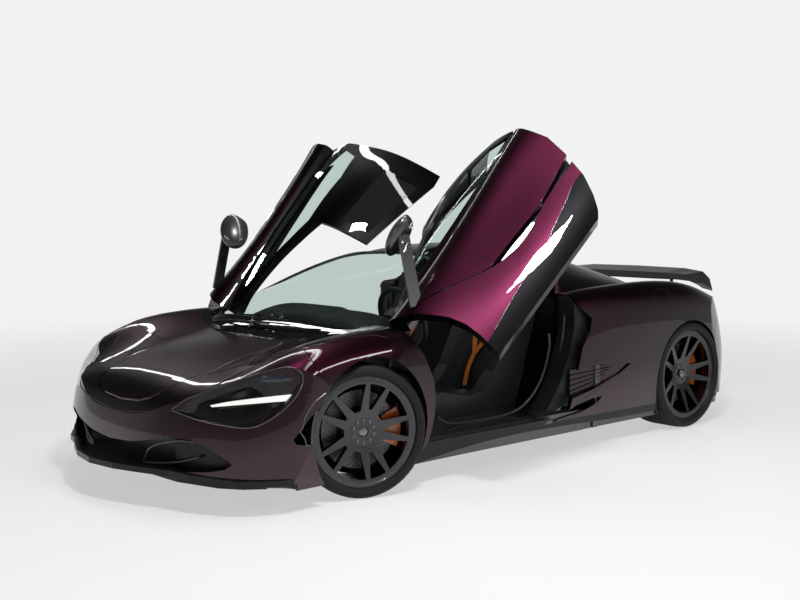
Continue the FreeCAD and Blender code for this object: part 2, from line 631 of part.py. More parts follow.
# Tub: floor, sills, bulkheads, wheel houses and beams, all reaching the panels' inner faces
floor_top = clearance + size("floor_thickness")
splitter_rear_y = axle_front_y - SPLITTER_REAR_SHARE * size("front_overhang")
floor = box(-half_width * .93, half_width * .93, splitter_rear_y, along(1.24), clearance, floor_top)
sill = box(size("sill_inner_x"), half_width, along(.10), along(.62), clearance, size("sill_height"))
front_bulkhead = box(-half_width, half_width, size("cabin_front_y") - size("bulkhead_thickness"),
                     size("cabin_front_y"), clearance, height * .60)
rear_bulkhead = box(-half_width, half_width, size("cabin_rear_y"),
                    size("cabin_rear_y") + size("bulkhead_thickness"), clearance, height * .90)
beam_z = size("beam_top") - size("beam_height")
front_beam = box(size("beam_x"), size("beam_x") + size("beam_width"), along(-.20),
                 size("cabin_front_y"), beam_z, size("beam_top"))
rear_beam = box(size("beam_x"), size("beam_x") + size("beam_width"), size("cabin_rear_y"),
                length / 2, beam_z, size("beam_top"))
liners = []
for axle_y, wheel_z, radius in (
    (axle_front_y, size("tyre_radius_front"), size("arch_radius_front")),
    (axle_rear_y, size("tyre_radius_rear"), size("arch_radius_rear")),
):
    wall_at = Vector(well_inner_x - size("liner_thickness"), axle_y, wheel_z)
    big = Part.makeCylinder(radius + size("liner_thickness"), half_width, wall_at, Vector(1, 0, 0))
    small = Part.makeCylinder(radius, half_width, Vector(well_inner_x, axle_y, wheel_z), Vector(1, 0, 0))
    upper = box(0, half_width * 2, -length, length, clearance, far)
    liners.append((big.common(upper), small))
parts_of_tub = [front_bulkhead, rear_bulkhead]
parts_of_tub += [both_sides(one) for one in (sill, front_beam, rear_beam)]
parts_of_tub += [both_sides(big) for big, small in liners]
tub = floor.fuse(parts_of_tub).common(inner)
for big, small in liners:
    tub = tub.cut(both_sides(small))
door_void = outer.cut(door_void_floor).common(door_region_grown)
tub = tub.cut(both_sides(door_void))
boss = hinge_rod(size("hinge_boss_radius"), size("hinge_boss_start"), size("door_pin_end"))
boss_at = hinge_point + hinge_axis * size("door_pin_end")
bracket = box(boss_at.x - size("hinge_boss_radius"), boss_at.x + size("hinge_boss_radius"),
              size("cabin_front_y") - size("bulkhead_thickness"), size("cabin_front_y"),
              height * size("hinge_bracket_low"), boss_at.z)
boss = boss.fuse(bracket).common(inner).cut(door_region_grown)
boss = boss.fuse(hinge_pin)
boss = max(boss.Solids, key=lambda s: s.Volume)
tub = tub.fuse(both_sides(boss))
bonnet_void = outer.cut(body_solid(panel + gap)).common(bonnet_region_grown)
tub = tub.cut(bonnet_void)

# Lamps
lamp_tray = inner.cut(body_solid(panel + size("lamp_depth"))).common(lamp_region_grown)
lamp_hollow = inner.cut(body_solid(panel + size("lamp_depth") - size("lamp_wall"))).common(lamp_region)
lamp_strip_left = lamp_hollow.common(side_prism(LAMP_STRIP_SHARES, half_width * .68, far))
headlamp_left = lamp_tray.cut(lamp_hollow).cut(front_arch).fuse(lamp_strip_left)
headlamps = both_sides(headlamp_left)

# Windscreen and rear window
canopy_glass = glass_layer.cut([bonnet_region_grown, both_doors_grown])
canopy_glass = canopy_glass.cut(both_sides(hinge_pin))
lamp_covers = both_sides(glass_layer.common(lamp_region).cut(front_arch))
fixed_glass = Part.makeCompound([canopy_glass.common(windscreen_region),
                                 canopy_glass.common(rear_window_region), lamp_covers])

# Splitter and diffuser
splitter_wires = []
under_wires = []
for share, reach, top in [(-a, b, c) for a, b, c in reversed(SPLITTER_SHARES[1:])] + SPLITTER_SHARES:
    x = share * half_width
    front_y = axle_front_y - reach * size("front_overhang")
    top_z = top * height
    lip = Vector(x, front_y, top_z)
    tail = Vector(x, splitter_rear_y, top_z)
    low_tail = Vector(x, splitter_rear_y, clearance)
    corners = [lip - Vector(0, 0, size("splitter_thickness")), lip, tail, low_tail]
    splitter_wires.append(Part.makePolygon(corners + [corners[0]]))
    under = [Vector(x, -far, 0), Vector(x, -far, top_z), tail, Vector(x, splitter_rear_y, 0)]
    under_wires.append(Part.makePolygon(under + [under[0]]))
splitter = Part.makeLoft(splitter_wires, True, True)
under_splitter = Part.makeLoft(under_wires, True, True)
grille_front = [Vector(a * half_width, axle_front_y - b * size("front_overhang"), clearance)
                for a, b in doubled(GRILLE_SHARES)]
ordered = sorted(grille_front, key=lambda p: p.x)
grille = face_from(ordered + [p + Vector(0, size("grille_thickness"), 0) for p in reversed(ordered)])
grille = grille.extrude(Vector(0, 0, height * .31 - clearance)).common(inner)
splitter = splitter.fuse(grille)
nose = nose.cut([splitter, under_splitter])
nose = max(nose.Solids, key=lambda s: s.Volume)
diffuser_points = [Vector(a * half_width, axle_rear_y + b * rear_overhang, 0)
                   for a, b in doubled(DIFFUSER_SHARES)]
diffuser = face_from(diffuser_points).extrude(Vector(0, 0, size("floor_thickness")))
diffuser.translate(Vector(0, 0, floor_top))
diffuser = diffuser.common(inner).cut(tub)

# Rear wing
wing_wires = []
for share, le_y, le_z, te_y, te_z in [(-w[0],) + w[1:] for w in reversed(WING_SHARES[1:])] + WING_SHARES:
    x = share * size("wing_half_span")
    lead = Vector(x, le_y * length / 2, le_z * height)
    trail = Vector(x, te_y * length / 2, te_z * height)
    chord = trail - lead
    crown = lead + chord * .35 + Vector(0, 0, size("wing_thickness") / 2)
    belly = lead + chord * .35 - Vector(0, 0, size("wing_thickness") / 2)
    edge = Vector(0, 0, size("wing_edge") / 2)
    corners = [lead - edge, lead + edge, crown, trail + edge, trail - edge, belly]
    wing_wires.append(Part.makePolygon(corners + [corners[0]]))
rear_wing_blade = Part.makeLoft(wing_wires, True, True)
strut_x = half_width * .45
strut_y = length / 2 * .86
strut_top = height * .79
strut_length = height * .22
strut_foot = Vector(strut_x, strut_y, strut_top - strut_length)
strut = Part.makeCylinder(size("kingpin_radius"), strut_length, strut_foot)
rear_wing = rear_wing_blade.fuse([strut, mirrored(strut)])
struts_void = both_sides(Part.makeCylinder(size("kingpin_radius") + size("kingpin_gap"), height,
                         Vector(strut_x, strut_y, 0)))

# Powertrain, cabin and trim
engine_side = size("engine_width") / 2
engine_front_y = along(.70)
engine = box(-engine_side, engine_side, engine_front_y, engine_front_y + size("engine_length"),
             floor_top, floor_top + size("engine_height"))
seat_scale = size("seat_reach")


def seat_slice(shares, x0, x1):
    face = face_from([Vector(x0, a * seat_scale, b * height + floor_top - height * .14) for a, b in shares])
    return face.extrude(Vector(x1 - x0, 0, 0))


seat_inner = size("seat_x") - size("seat_width") / 2
seat_outer = size("seat_x") + size("seat_width") / 2
seat = seat_slice(SEAT_SIDE_SHARES, seat_inner, seat_outer)
seat = seat.fuse([seat_slice(BOLSTER_SHARES, seat_inner, seat_inner + size("bolster_width")),
                  seat_slice(BOLSTER_SHARES, seat_outer - size("bolster_width"), seat_outer)])
seat.translate(Vector(0, size("seat_y"), 0))
seats = both_sides(seat)
dash_reach = wheelbase * .36
dash_face = face_from([Vector(0, a * dash_reach, b * height) for a, b in DASH_SHARES])
dash_face.translate(Vector(0, size("cabin_front_y") - DASH_SHARES[0][0] * dash_reach, 0))
dashboard = dash_face.extrude(Vector(half_width * 1.2, 0, 0))
dashboard.translate(Vector(-half_width * .6, 0, 0))
dashboard = dashboard.common(inner).cut([tub, both_sides(door_void)])
dashboard = max(dashboard.Solids, key=lambda s: s.Volume)
column_at = Vector(size("seat_x"), size("cabin_front_y") + wheelbase * .175, height * .66)
column_axis = Vector(0, .94, .34)
steering_rim = Part.makeTorus(size("wheel_rim_radius"), size("wheel_rim_section"), column_at, column_axis)
spoke_a = Part.makeCylinder(size("wheel_rim_section"), size("wheel_rim_radius") * 2,
                            column_at - Vector(size("wheel_rim_radius"), 0, 0), Vector(1, 0, 0))
column = Part.makeCylinder(size("wheel_rim_section") * 2, wheelbase * .09, column_at, column_axis * -1)
steering_wheel = steering_rim.fuse([spoke_a, column]).cut(dashboard)
steering_wheel = max(steering_wheel.Solids, key=lambda s: s.Volume)
pipe_y = length / 2 - size("exhaust_length") * 1.2
pipe_at = Vector(half_width * .2, pipe_y, height * .55)
pipe_floor = Vector(0, size("exhaust_wall"), 0)
pipe = Part.makeCylinder(size("exhaust_radius"), size("exhaust_length"), pipe_at, Vector(0, 1, 0))
pipe_hole = Part.makeCylinder(size("exhaust_radius") - size("exhaust_wall"), size("exhaust_length"),
                              pipe_at + pipe_floor, Vector(0, 1, 0))
pipe = pipe.cut(pipe_hole)
exhaust_tips = both_sides(pipe)
lamp_strip = box(half_width * .30, half_width * .84, length / 2 - size("front_overhang") * .5, length / 2,
                 height * .60, height * .615)
tail_cut = both_sides(lamp_strip)
rear_bumper = rear_bumper.cut(struts_void)
tail_lamps = rear_bumper.common(tail_cut)
rear_bumper = rear_bumper.cut(tail_cut)
pipes_solid = both_sides(Part.makeCylinder(size("exhaust_radius"), size("exhaust_length") * 2,
                                           pipe_at - Vector(0, size("exhaust_length"), 0), Vector(0, 1, 0)))
rear_bumper = rear_bumper.cut(pipes_solid)
engine_cover = engine_cover.cut(struts_void).cut(rear_wing_blade)
rear_bumper = rear_bumper.cut(rear_wing_blade)


# Front knuckles, brakes and arms about a wheel centre, outward along +X
def x_cylinder(radius, x0, x1, y=0, z=0):
    return Part.makeCylinder(radius, x1 - x0, Vector(x0, y, z), Vector(1, 0, 0))


def caliper_shape(disc_radius):
    ring = x_cylinder(size("caliper_outer_radius"), size("caliper_inner_x"), size("caliper_outer_x"))
    ring = ring.cut(x_cylinder(size("caliper_inner_radius"), -far, far))
    slot_half = size("disc_thickness") / 2 + size("running_gap") - size("kingpin_gap") * 2
    ring = ring.cut(x_cylinder(disc_radius + size("running_gap"), -slot_half, slot_half))
    reach = size("caliper_outer_radius") * 2
    opening = math.tan(math.radians(size("caliper_half_angle")))
    wedge = Part.Face(Part.makePolygon([Vector(0, 0, 0), Vector(0, reach, reach * opening),
                                        Vector(0, reach, -reach * opening), Vector(0, 0, 0)]))
    wedge.translate(Vector(-far / 2, 0, 0))
    return ring.common(wedge.extrude(Vector(far, 0, 0)))


def carrier_shape():
    carrier_end = -size("disc_thickness") / 2 - size("running_gap")
    carrier = x_cylinder(size("carrier_radius"), carrier_end - size("carrier_length"), carrier_end)
    bracket = box(carrier_end - size("carrier_length"), carrier_end, 0, size("caliper_inner_radius") * 1.3,
                  -size("carrier_radius") / 2, size("carrier_radius") / 2)
    bracket = bracket.common(box(-far, size("caliper_inner_x"), -far, far, -far, far))
    return carrier.fuse(bracket)


def knuckle_shape():
    spindle_end = size("hub_offset_front") - size("running_gap")
    spindle = x_cylinder(size("spindle_radius"), -size("carrier_length"), spindle_end)
    pin = Part.makeCylinder(size("kingpin_radius"), size("kingpin_half_height") * 2,
                            Vector(-size("kingpin_inset"), 0, -size("kingpin_half_height")))
    return carrier_shape().fuse([spindle, pin])


def arm_shape(track, pin_x):
    inner_x = size("beam_x") + size("beam_width") + size("post_width")
    plates = []
    for side in (-1, 1):
        z = side * size("arm_height") - size("arm_thickness") / 2
        eye = Part.makeCylinder(size("arm_eye_radius"), size("arm_thickness"), Vector(pin_x, 0, z))
        for way in (-1, 1):
            root_y = way * size("arm_spread") / 2
            half = size("arm_thickness") / 2
            leg = face_from([Vector(pin_x, -half, z), Vector(pin_x, half, z),
                             Vector(inner_x - 1, root_y + half, z), Vector(inner_x - 1, root_y - half, z)])
            plates.append(leg.extrude(Vector(0, 0, size("arm_thickness"))))
        plates.append(eye)
    post = box(inner_x - size("post_width"), inner_x, -size("arm_spread") / 2 - size("arm_thickness"),
               size("arm_spread") / 2 + size("arm_thickness"), -size("arm_height") - size("arm_thickness"),
               size("arm_height") + size("arm_thickness"))
    arms = post.fuse(plates)
    bore = Part.makeCylinder(size("kingpin_radius") + size("kingpin_gap"), far, Vector(pin_x, 0, -far / 2))
    return arms, bore


knuckle_left = knuckle_shape()
caliper_left = caliper_shape(size("disc_radius_front"))
pin_x_front = size("track_front") / 2 - size("kingpin_inset")
front_arm, pin_bore = arm_shape(size("track_front"), pin_x_front)
front_arm = front_arm.cut(pin_bore)
front_arm.translate(Vector(0, axle_front_y, size("tyre_radius_front")))
front_arms = both_sides(front_arm)
pin_x_rear = size("track_rear") / 2 - size("kingpin_inset")
rear_arm, pin_bore = arm_shape(size("track_rear"), pin_x_rear)
rear_pin = Part.makeCylinder(size("kingpin_radius"), size("kingpin_half_height") * 2,
                             Vector(pin_x_rear, 0, -size("kingpin_half_height")))
rear_upright = carrier_shape().fuse(x_cylinder(size("spindle_radius"), -size("carrier_length"),
                                               size("hub_offset_rear") - size("running_gap")))
rear_caliper = caliper_shape(size("disc_radius_rear"))
rear_upright.translate(Vector(size("track_rear") / 2, 0, 0))
rear_caliper.translate(Vector(size("track_rear") / 2, 0, 0))
drive_shaft = x_cylinder(size("spindle_radius"), size("engine_width") / 2, size("track_rear") / 2)
rear_arm = rear_arm.fuse([rear_pin, rear_upright, drive_shaft])
for shape in (rear_arm, rear_caliper):
    shape.translate(Vector(0, axle_rear_y, size("tyre_radius_rear")))
rear_arms = both_sides(rear_arm)
rear_calipers = both_sides(rear_caliper)
for shape, wheel_z, axle_y in ((front_arms, size("tyre_radius_front"), axle_front_y),
                               (rear_arms, size("tyre_radius_rear"), axle_rear_y)):
    reach = size("arm_spread") / 2 + size("arm_thickness") * 2
    passage = box(size("beam_x") + size("beam_width"), half_width, axle_y - reach, axle_y + reach,
                  wheel_z - size("arm_height") - size("arm_thickness") * 2,
                  wheel_z + size("arm_height") + size("arm_thickness") * 2)
    tub = tub.cut(both_sides(passage))
post = side_prism(POST_SHARES, size("post_inner_x"), size("post_face_x"), size("post_lap"))
post = post.cut(side_prism(DOOR_OPENING_SHARES, 0, far, gap + size("kingpin_gap"))).common(inner)
post = post.cut([rear_bulkhead, sill])
post = max(post.Solids, key=lambda s: s.Volume)
canopy_frame = Part.makeCompound([canopy_frame, post, mirrored(post)])
shaft_bore = x_cylinder(size("spindle_radius") + size("running_gap"), -far, far, axle_rear_y,
                        size("tyre_radius_rear"))
tub = tub.cut(shaft_bore)
tub = max(tub.Solids, key=lambda s: s.Volume)


def feature(label, shape, placement=None):
    item = doc.addObject("Part::Feature", label)
    item.Label = label
    item.Shape = shape
    if placement is not None:
        item.Placement = placement
    return item


def plane_of(body, role):
    for origin_feature in body.Origin.OriginFeatures:
        if origin_feature.Role == role:
            return origin_feature
    return None


def sketch_polygon(body, label, role, corners):
    sketch = body.newObject("Sketcher::SketchObject", label)
    sketch.AttachmentSupport = [(plane_of(body, role), "")]
    sketch.MapMode = "FlatFace"
    count = len(corners)
    spots = []
    for i in range(count):
        turn_angle = 2 * math.pi * i / count
        spots.append(Vector(half_width * math.cos(turn_angle), half_width * math.sin(turn_angle), 0))
    for i in range(count):
        sketch.addGeometry(Part.LineSegment(spots[i], spots[(i + 1) % count]), False)
    for i in range(count):
        sketch.addConstraint(Sketcher.Constraint("Coincident", i, 2, (i + 1) % count, 1))
    for i, (across, up) in enumerate(corners):
        for kind, text, spot in (("DistanceX", across, spots[i].x), ("DistanceY", up, spots[i].y)):
            index = sketch.addConstraint(Sketcher.Constraint(kind, -1, 1, i, 1, spot))
            name = "%s_%d" % (kind, i)
            sketch.renameConstraint(index, name)
            sketch.setExpression("Constraints." + name, text)
    return sketch


def new_body(label):
    body = doc.addObject("PartDesign::Body", label)
    body.Label = label
    return body


def revolved(body, label, corners):
    sketch = sketch_polygon(body, label + "_profile", "XY_Plane", corners)
    ring = body.newObject("PartDesign::Revolution", label)
    ring.Profile = sketch
    ring.ReferenceAxis = (sketch, ["H_Axis"])
    ring.Angle = 360
    body.Tip = ring
    return ring


TYRE_SHARES = [(.47, .30), (.5, .55), (.48, .80), (.43, .94), (.36, 1)]


def tyre_corners(end):
    width = "Sizes.tyre_width_" + end
    bead = "Sizes.bead_radius_" + end
    wall = "(Sizes.tyre_radius_%s - Sizes.bead_radius_%s)" % (end, end)
    seat = "Sizes.bead_share * " + width
    right = [(seat, bead), (seat, bead + " + Sizes.flange_height")]
    right += [("%s * %s" % (a, width), "%s + %s * %s" % (bead, b, wall)) for a, b in TYRE_SHARES]
    left = [("-(%s)" % a, b) for a, b in reversed(right)]
    return right + left


def rim_corners(end):
    seat = "Sizes.bead_share * Sizes.tyre_width_" + end
    bead = "Sizes.bead_radius_" + end
    inside = bead + " - Sizes.rim_wall"
    lip = bead + " + Sizes.flange_height"
    edge = seat + " + Sizes.flange_width"
    hub = "Sizes.hub_offset_" + end
    hub_back = hub + " - Sizes.hub_depth"
    return [
        ("-(%s)" % edge, inside), ("-(%s)" % edge, lip), ("-(%s)" % seat, lip), ("-(%s)" % seat, bead),
        (seat, bead), (seat, lip), (edge, lip), (edge, inside),
        (hub, "Sizes.hub_radius"), (hub, "Sizes.hub_bore_radius"),
        (hub_back, "Sizes.hub_bore_radius"), (hub_back, "Sizes.hub_radius"),
        (edge + " - Sizes.spoke_depth", inside),
    ]


def polar(radius, angle):
    return ("(%s) * cos((%s) * 1 deg)" % (radius, angle), "(%s) * sin((%s) * 1 deg)" % (radius, angle))


def window_corners(end, centre, half, root_half, root_radius):
    reach = "Sizes.bead_radius_%s - Sizes.rim_wall - Sizes.window_edge" % end
    shares = (-1, -.5, 0, .5, 1)
    outer_arc = [polar(reach, "%s + %s * %s" % (centre, k, half)) for k in shares]
    return outer_arc + [polar(root_radius, "%s + %s" % (centre, root_half)),
                        polar(root_radius, "%s - %s" % (centre, root_half))]


def through_pocket(body, label, corners):
    sketch = sketch_polygon(body, label + "_profile", "YZ_Plane", corners)
    pocket = body.newObject("PartDesign::Pocket", label)
    pocket.Profile = sketch
    pocket.Type = "ThroughAll"
    pocket.Midplane = True
    return pocket, sketch


def tyre_body(label, end):
    body = new_body(label)
    revolved(body, label + "_ring", tyre_corners(end))
    return body


def rim_body(label, end):
    body = new_body(label)
    revolved(body, label + "_dish", rim_corners(end))
    pitch = "180 / Sizes.spoke_count"
    window, sketch = through_pocket(body, label + "_window", window_corners(
        end, pitch, "Sizes.window_half_angle", "Sizes.window_root_angle", "Sizes.window_root_radius"))
    slot, slot_sketch = through_pocket(body, label + "_slot", window_corners(
        end, "0", "Sizes.slot_half_angle", "Sizes.slot_root_angle", "Sizes.slot_root_radius"))
    body.Tip = slot
    doc.recompute()
    pattern = body.newObject("PartDesign::PolarPattern", label + "_pattern")
    pattern.Originals = [window, slot]
    pattern.Axis = (sketch, ["N_Axis"])
    pattern.Angle = 360
    body.Tip = pattern
    pattern.setExpression("Occurrences", "Sizes.spoke_count")
    return body


def disc_body(label, end):
    body = new_body(label)
    half = "Sizes.disc_thickness / 2"
    back = "Sizes.hub_offset_%s - Sizes.hub_depth" % end
    revolved(body, label + "_rotor", [
        ("-" + half, "Sizes.disc_hat_radius"), ("-" + half, "Sizes.disc_radius_" + end),
        (half, "Sizes.disc_radius_" + end), (half, "Sizes.disc_hat_radius + Sizes.disc_hat_wall"),
        (back, "Sizes.disc_hat_radius + Sizes.disc_hat_wall"), (back, "Sizes.hub_bore_radius"),
        (back + " - Sizes.disc_hat_wall / 2", "Sizes.hub_bore_radius"),
        (back + " - Sizes.disc_hat_wall / 2", "Sizes.disc_hat_radius"),
    ])
    return body


features = {}


def keep(node, shape, placement=None):
    features[node] = feature(node, shape, placement)


turn = FreeCAD.Rotation(hinge_axis, size("door_rest_angle"))
door_place_left = FreeCAD.Placement(Vector(0, 0, 0), turn, hinge_point)
mirror_axis = Vector(hinge_axis.x, -hinge_axis.y, -hinge_axis.z)
mirror_point = Vector(-hinge_point.x, hinge_point.y, hinge_point.z)
far_turn = FreeCAD.Rotation(mirror_axis, size("door_rest_angle"))
door_place_right = FreeCAD.Placement(Vector(0, 0, 0), far_turn, mirror_point)

keep("tub", tub)
keep("nose", nose)
keep("lower_trim", Part.makeCompound([splitter, skirts]))
keep("front_wing_left", front_wing_left)
keep("front_wing_right", front_wing_right)
keep("canopy_frame", canopy_frame)
keep("fixed_glass", fixed_glass)
keep("engine_cover", engine_cover)
keep("quarter_left", quarter_left)
keep("quarter_right", quarter_right)
keep("rear_bumper", rear_bumper)
keep("diffuser", diffuser)
keep("headlamps", headlamps)
keep("tail_lamps", tail_lamps)
keep("exhaust_tips", exhaust_tips)
keep("engine_block", engine)
keep("seats", seats)
keep("dashboard", dashboard)
keep("steering_wheel", steering_wheel)
keep("bonnet", bonnet)
keep("rear_wing", rear_wing)
keep("door_left", door_left, door_place_left)
keep("door_glass_left", door_glass_left, door_place_left)
keep("mirror_left", mirror_left, door_place_left)
keep("door_right", mirrored(door_left), door_place_right)
keep("door_glass_right", mirrored(door_glass_left), door_place_right)
keep("mirror_right", mirrored(mirror_left), door_place_right)

keep("suspension_arms", Part.makeCompound([front_arms, rear_arms]))
keep("rear_calipers", rear_calipers)

# Steered front corners: knuckle and wheel turned about the kingpin
steer = FreeCAD.Rotation(Vector(0, 0, 1), -size("steer_rest_angle"))
no_turn = FreeCAD.Rotation()
half_turn = FreeCAD.Rotation(Vector(0, 0, 1), 180)
front_z = size("tyre_radius_front")
rear_z = size("tyre_radius_rear")
inset = size("kingpin_inset")


def front_place(side):
    pivot = Vector(side * (size("track_front") / 2 - inset), axle_front_y, front_z)
    centre = pivot + steer.multVec(Vector(side * inset, 0, 0))
    return centre


centre_left = front_place(1)
centre_right = front_place(-1)
keep("knuckle_left", knuckle_left, FreeCAD.Placement(centre_left, steer))
keep("knuckle_right", mirrored(knuckle_left), FreeCAD.Placement(centre_right, steer))
keep("caliper_left", caliper_left, FreeCAD.Placement(centre_left, steer))
keep("caliper_right", mirrored(caliper_left), FreeCAD.Placement(centre_right, steer))

rear_left = Vector(size("track_rear") / 2, axle_rear_y, rear_z)
rear_right = Vector(-size("track_rear") / 2, axle_rear_y, rear_z)
corner_places = (
    ("front_left", "front", FreeCAD.Placement(centre_left, steer)),
    ("front_right", "front", FreeCAD.Placement(centre_right, steer.multiply(half_turn))),
    ("rear_left", "rear", FreeCAD.Placement(rear_left, no_turn)),
    ("rear_right", "rear", FreeCAD.Placement(rear_right, half_turn)),
)
for corner, end, place in corner_places:
    for node, body in (
        ("tyre_" + corner, tyre_body("tyre_" + corner, end)),
        ("rim_" + corner, rim_body("rim_" + corner, end)),
        ("disc_" + corner, disc_body("disc_" + corner, end)),
    ):
        body.Placement = place
        features[node] = body

doc.recompute()
os.makedirs("parts", exist_ok=True)
for item in doc.Objects:
    if "Invalid" in item.State or "Error" in item.State:
        raise RuntimeError("not built: " + item.Label)
for node, item in features.items():
    shape = item.Shape
    if shape.isNull() or not shape.isValid():
        raise RuntimeError("bad shape: " + node)
    shape.exportStep("parts/%s.step" % node)
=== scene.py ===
import bpy
import json
import math
from mathutils import Matrix, Vector
from mathutils.bvhtree import BVHTree

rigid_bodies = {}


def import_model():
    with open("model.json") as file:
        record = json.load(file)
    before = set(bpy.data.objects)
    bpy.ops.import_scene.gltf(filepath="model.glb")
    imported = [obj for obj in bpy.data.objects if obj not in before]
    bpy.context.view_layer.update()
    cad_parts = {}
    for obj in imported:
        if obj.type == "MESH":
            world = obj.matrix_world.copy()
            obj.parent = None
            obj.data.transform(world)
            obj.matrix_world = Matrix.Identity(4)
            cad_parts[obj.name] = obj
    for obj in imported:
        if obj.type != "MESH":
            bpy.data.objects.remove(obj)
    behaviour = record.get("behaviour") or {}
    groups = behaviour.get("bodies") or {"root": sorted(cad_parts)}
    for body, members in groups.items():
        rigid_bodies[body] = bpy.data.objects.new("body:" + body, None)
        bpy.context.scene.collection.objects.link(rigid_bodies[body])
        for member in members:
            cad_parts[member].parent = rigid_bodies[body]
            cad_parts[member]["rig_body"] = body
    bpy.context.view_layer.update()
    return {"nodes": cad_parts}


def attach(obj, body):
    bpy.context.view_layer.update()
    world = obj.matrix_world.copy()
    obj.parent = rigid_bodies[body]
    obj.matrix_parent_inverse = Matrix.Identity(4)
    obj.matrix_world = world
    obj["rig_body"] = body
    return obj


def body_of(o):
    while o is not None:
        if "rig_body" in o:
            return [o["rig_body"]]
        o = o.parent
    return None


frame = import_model()
nodes = frame["nodes"]
bpy.context.view_layer.update()

# Sizes taken from the car
HINGE_POINT = (0.766, -0.965, 0.811)
HINGE_AXIS = (0.584, -0.706, -0.400)
DOOR_OPEN_ANGLE = math.radians(68.6)
STEER_ANGLE = math.radians(-16.9)
FRONT_AXLE_Y = -1.240
REAR_AXLE_Y = 1.430
KINGPIN_X = 0.792
KINGPIN_OFFSET = 0.045
FRONT_TYRE_RADIUS = 0.3275
REAR_TYRE_RADIUS = 0.345
REAR_WHEEL_X = 0.8145
WHEEL_ARCH_LIP = 0.418
FULL_TURN = 2 * math.pi
SIDES = ((1, "left"), (-1, "right"))
CORNERS = ("front_left", "front_right", "rear_left", "rear_right")


# Shader building
def new_material(name):
    material = bpy.data.materials.new(name)
    material.use_nodes = True
    tree = material.node_tree
    return material, tree, tree.nodes["Principled BSDF"]


def link(tree, source, target):
    tree.links.new(source, target)


def set_inputs(node, values):
    for name, value in values.items():
        node.inputs[name].default_value = value


def feed(tree, value, socket):
    if isinstance(value, (int, float)):
        socket.default_value = value
    else:
        link(tree, value, socket)


def maths(tree, operation, first, second=0.0):
    node = tree.nodes.new("ShaderNodeMath")
    node.operation = operation
    feed(tree, first, node.inputs[0])
    feed(tree, second, node.inputs[1])
    return node.outputs[0]


def product(tree, first, *others):
    for other in others:
        first = maths(tree, "MULTIPLY", first, other)
    return first


def length_of(tree, first, second):
    """The length of the plane vector (first, second)."""
    return maths(tree, "SQRT", maths(tree, "ADD", product(tree, first, first),
                                     product(tree, second, second)))


def object_position(tree):
    return tree.nodes.new("ShaderNodeTexCoord").outputs["Object"]


def split(tree, vector):
    node = tree.nodes.new("ShaderNodeSeparateXYZ")
    link(tree, vector, node.inputs[0])
    return node.outputs


def noise_factor(tree, scale):
    noise = tree.nodes.new("ShaderNodeTexNoise")
    set_inputs(noise, {"Scale": scale, "Detail": 4.0})
    link(tree, object_position(tree), noise.inputs["Vector"])
    return noise.outputs["Fac"]


def mix_colours(tree, factor, first, second):
    mix = tree.nodes.new("ShaderNodeMix")
    mix.data_type = "RGBA"
    feed(tree, factor, mix.inputs["Factor"])
    for socket, value in ((mix.inputs[6], first), (mix.inputs[7], second)):
        if isinstance(value, tuple):
            socket.default_value = (*value, 1.0)
        else:
            link(tree, value, socket)
    return mix.outputs[2]


def scaled(colour, share):
    return tuple(channel * share for channel in colour)


def add_bump(tree, shader, height, strength):
    bump = tree.nodes.new("ShaderNodeBump")
    set_inputs(bump, {"Strength": strength, "Distance": 0.0005})
    link(tree, height, bump.inputs["Height"])
    link(tree, bump.outputs["Normal"], shader.inputs["Normal"])


def finish(name, colour, metallic, roughness, coat, shade, grain, bump, shine=0.5):
    """A colour that a noise of the given grain darkens by up to the share called shade."""
    material, tree, shader = new_material(name)
    set_inputs(shader, {"Metallic": metallic, "Roughness": roughness, "Coat Weight": coat,
                        "Specular IOR Level": shine, "Coat Roughness": 0.03})
    factor = noise_factor(tree, grain)
    link(tree, mix_colours(tree, factor, scaled(colour, shade), colour),
         shader.inputs["Base Color"])
    if bump:
        add_bump(tree, shader, factor, bump)
    return material


def below_line(tree, across, up, points):
    """1 where up lies under the line through the points (across, up)."""
    highest = 2.0
    spread = tree.nodes.new("ShaderNodeMapRange")
    link(tree, across, spread.inputs["Value"])
    start, end = points[0][0], points[-1][0]
    set_inputs(spread, {"From Min": start, "From Max": end})
    curve = tree.nodes.new("ShaderNodeFloatCurve")
    link(tree, spread.outputs[0], curve.inputs["Value"])
    line = curve.mapping.curves[0].points
    while len(line) < len(points):
        line.new(0.5, 0.5)
    for knot, (along, height) in zip(line, points):
        knot.location = ((along - start) / (end - start), height / highest)
        knot.handle_type = "AUTO"
    curve.mapping.update()
    return maths(tree, "LESS_THAN", up, maths(tree, "MULTIPLY", curve.outputs[0], highest))


PAINT_COLOUR = (0.030, 0.0046, 0.0125)
PAINT_DARK = (0.021, 0.0032, 0.0088)
PAINT_FLAKES = 900.0
BLACK = (0.003, 0.003, 0.0033)


def painted_shader(name):
    """A metallic paint under clear coat, and its plum colour, not linked yet."""
    material, tree, shader = new_material(name)
    set_inputs(shader, {"Metallic": 1.0, "Roughness": 0.33, "Coat Weight": 1.0,
                        "Coat Roughness": 0.015})
    plum = mix_colours(tree, noise_factor(tree, PAINT_FLAKES), PAINT_DARK, PAINT_COLOUR)
    return material, tree, shader, plum


def paint_material(name):
    material, tree, shader, plum = painted_shader(name)
    link(tree, plum, shader.inputs["Base Color"])
    return material


def quarter_material(name):
    """Plum, with the black lip round the rear wheel."""
    material, tree, shader, plum = painted_shader(name)
    x, y, z = split(tree, object_position(tree))
    reach = length_of(tree, maths(tree, "SUBTRACT", y, REAR_AXLE_Y),
                      maths(tree, "SUBTRACT", z, REAR_TYRE_RADIUS))
    lip = maths(tree, "LESS_THAN", reach, WHEEL_ARCH_LIP)
    link(tree, mix_colours(tree, lip, plum, BLACK), shader.inputs["Base Color"])
    return material


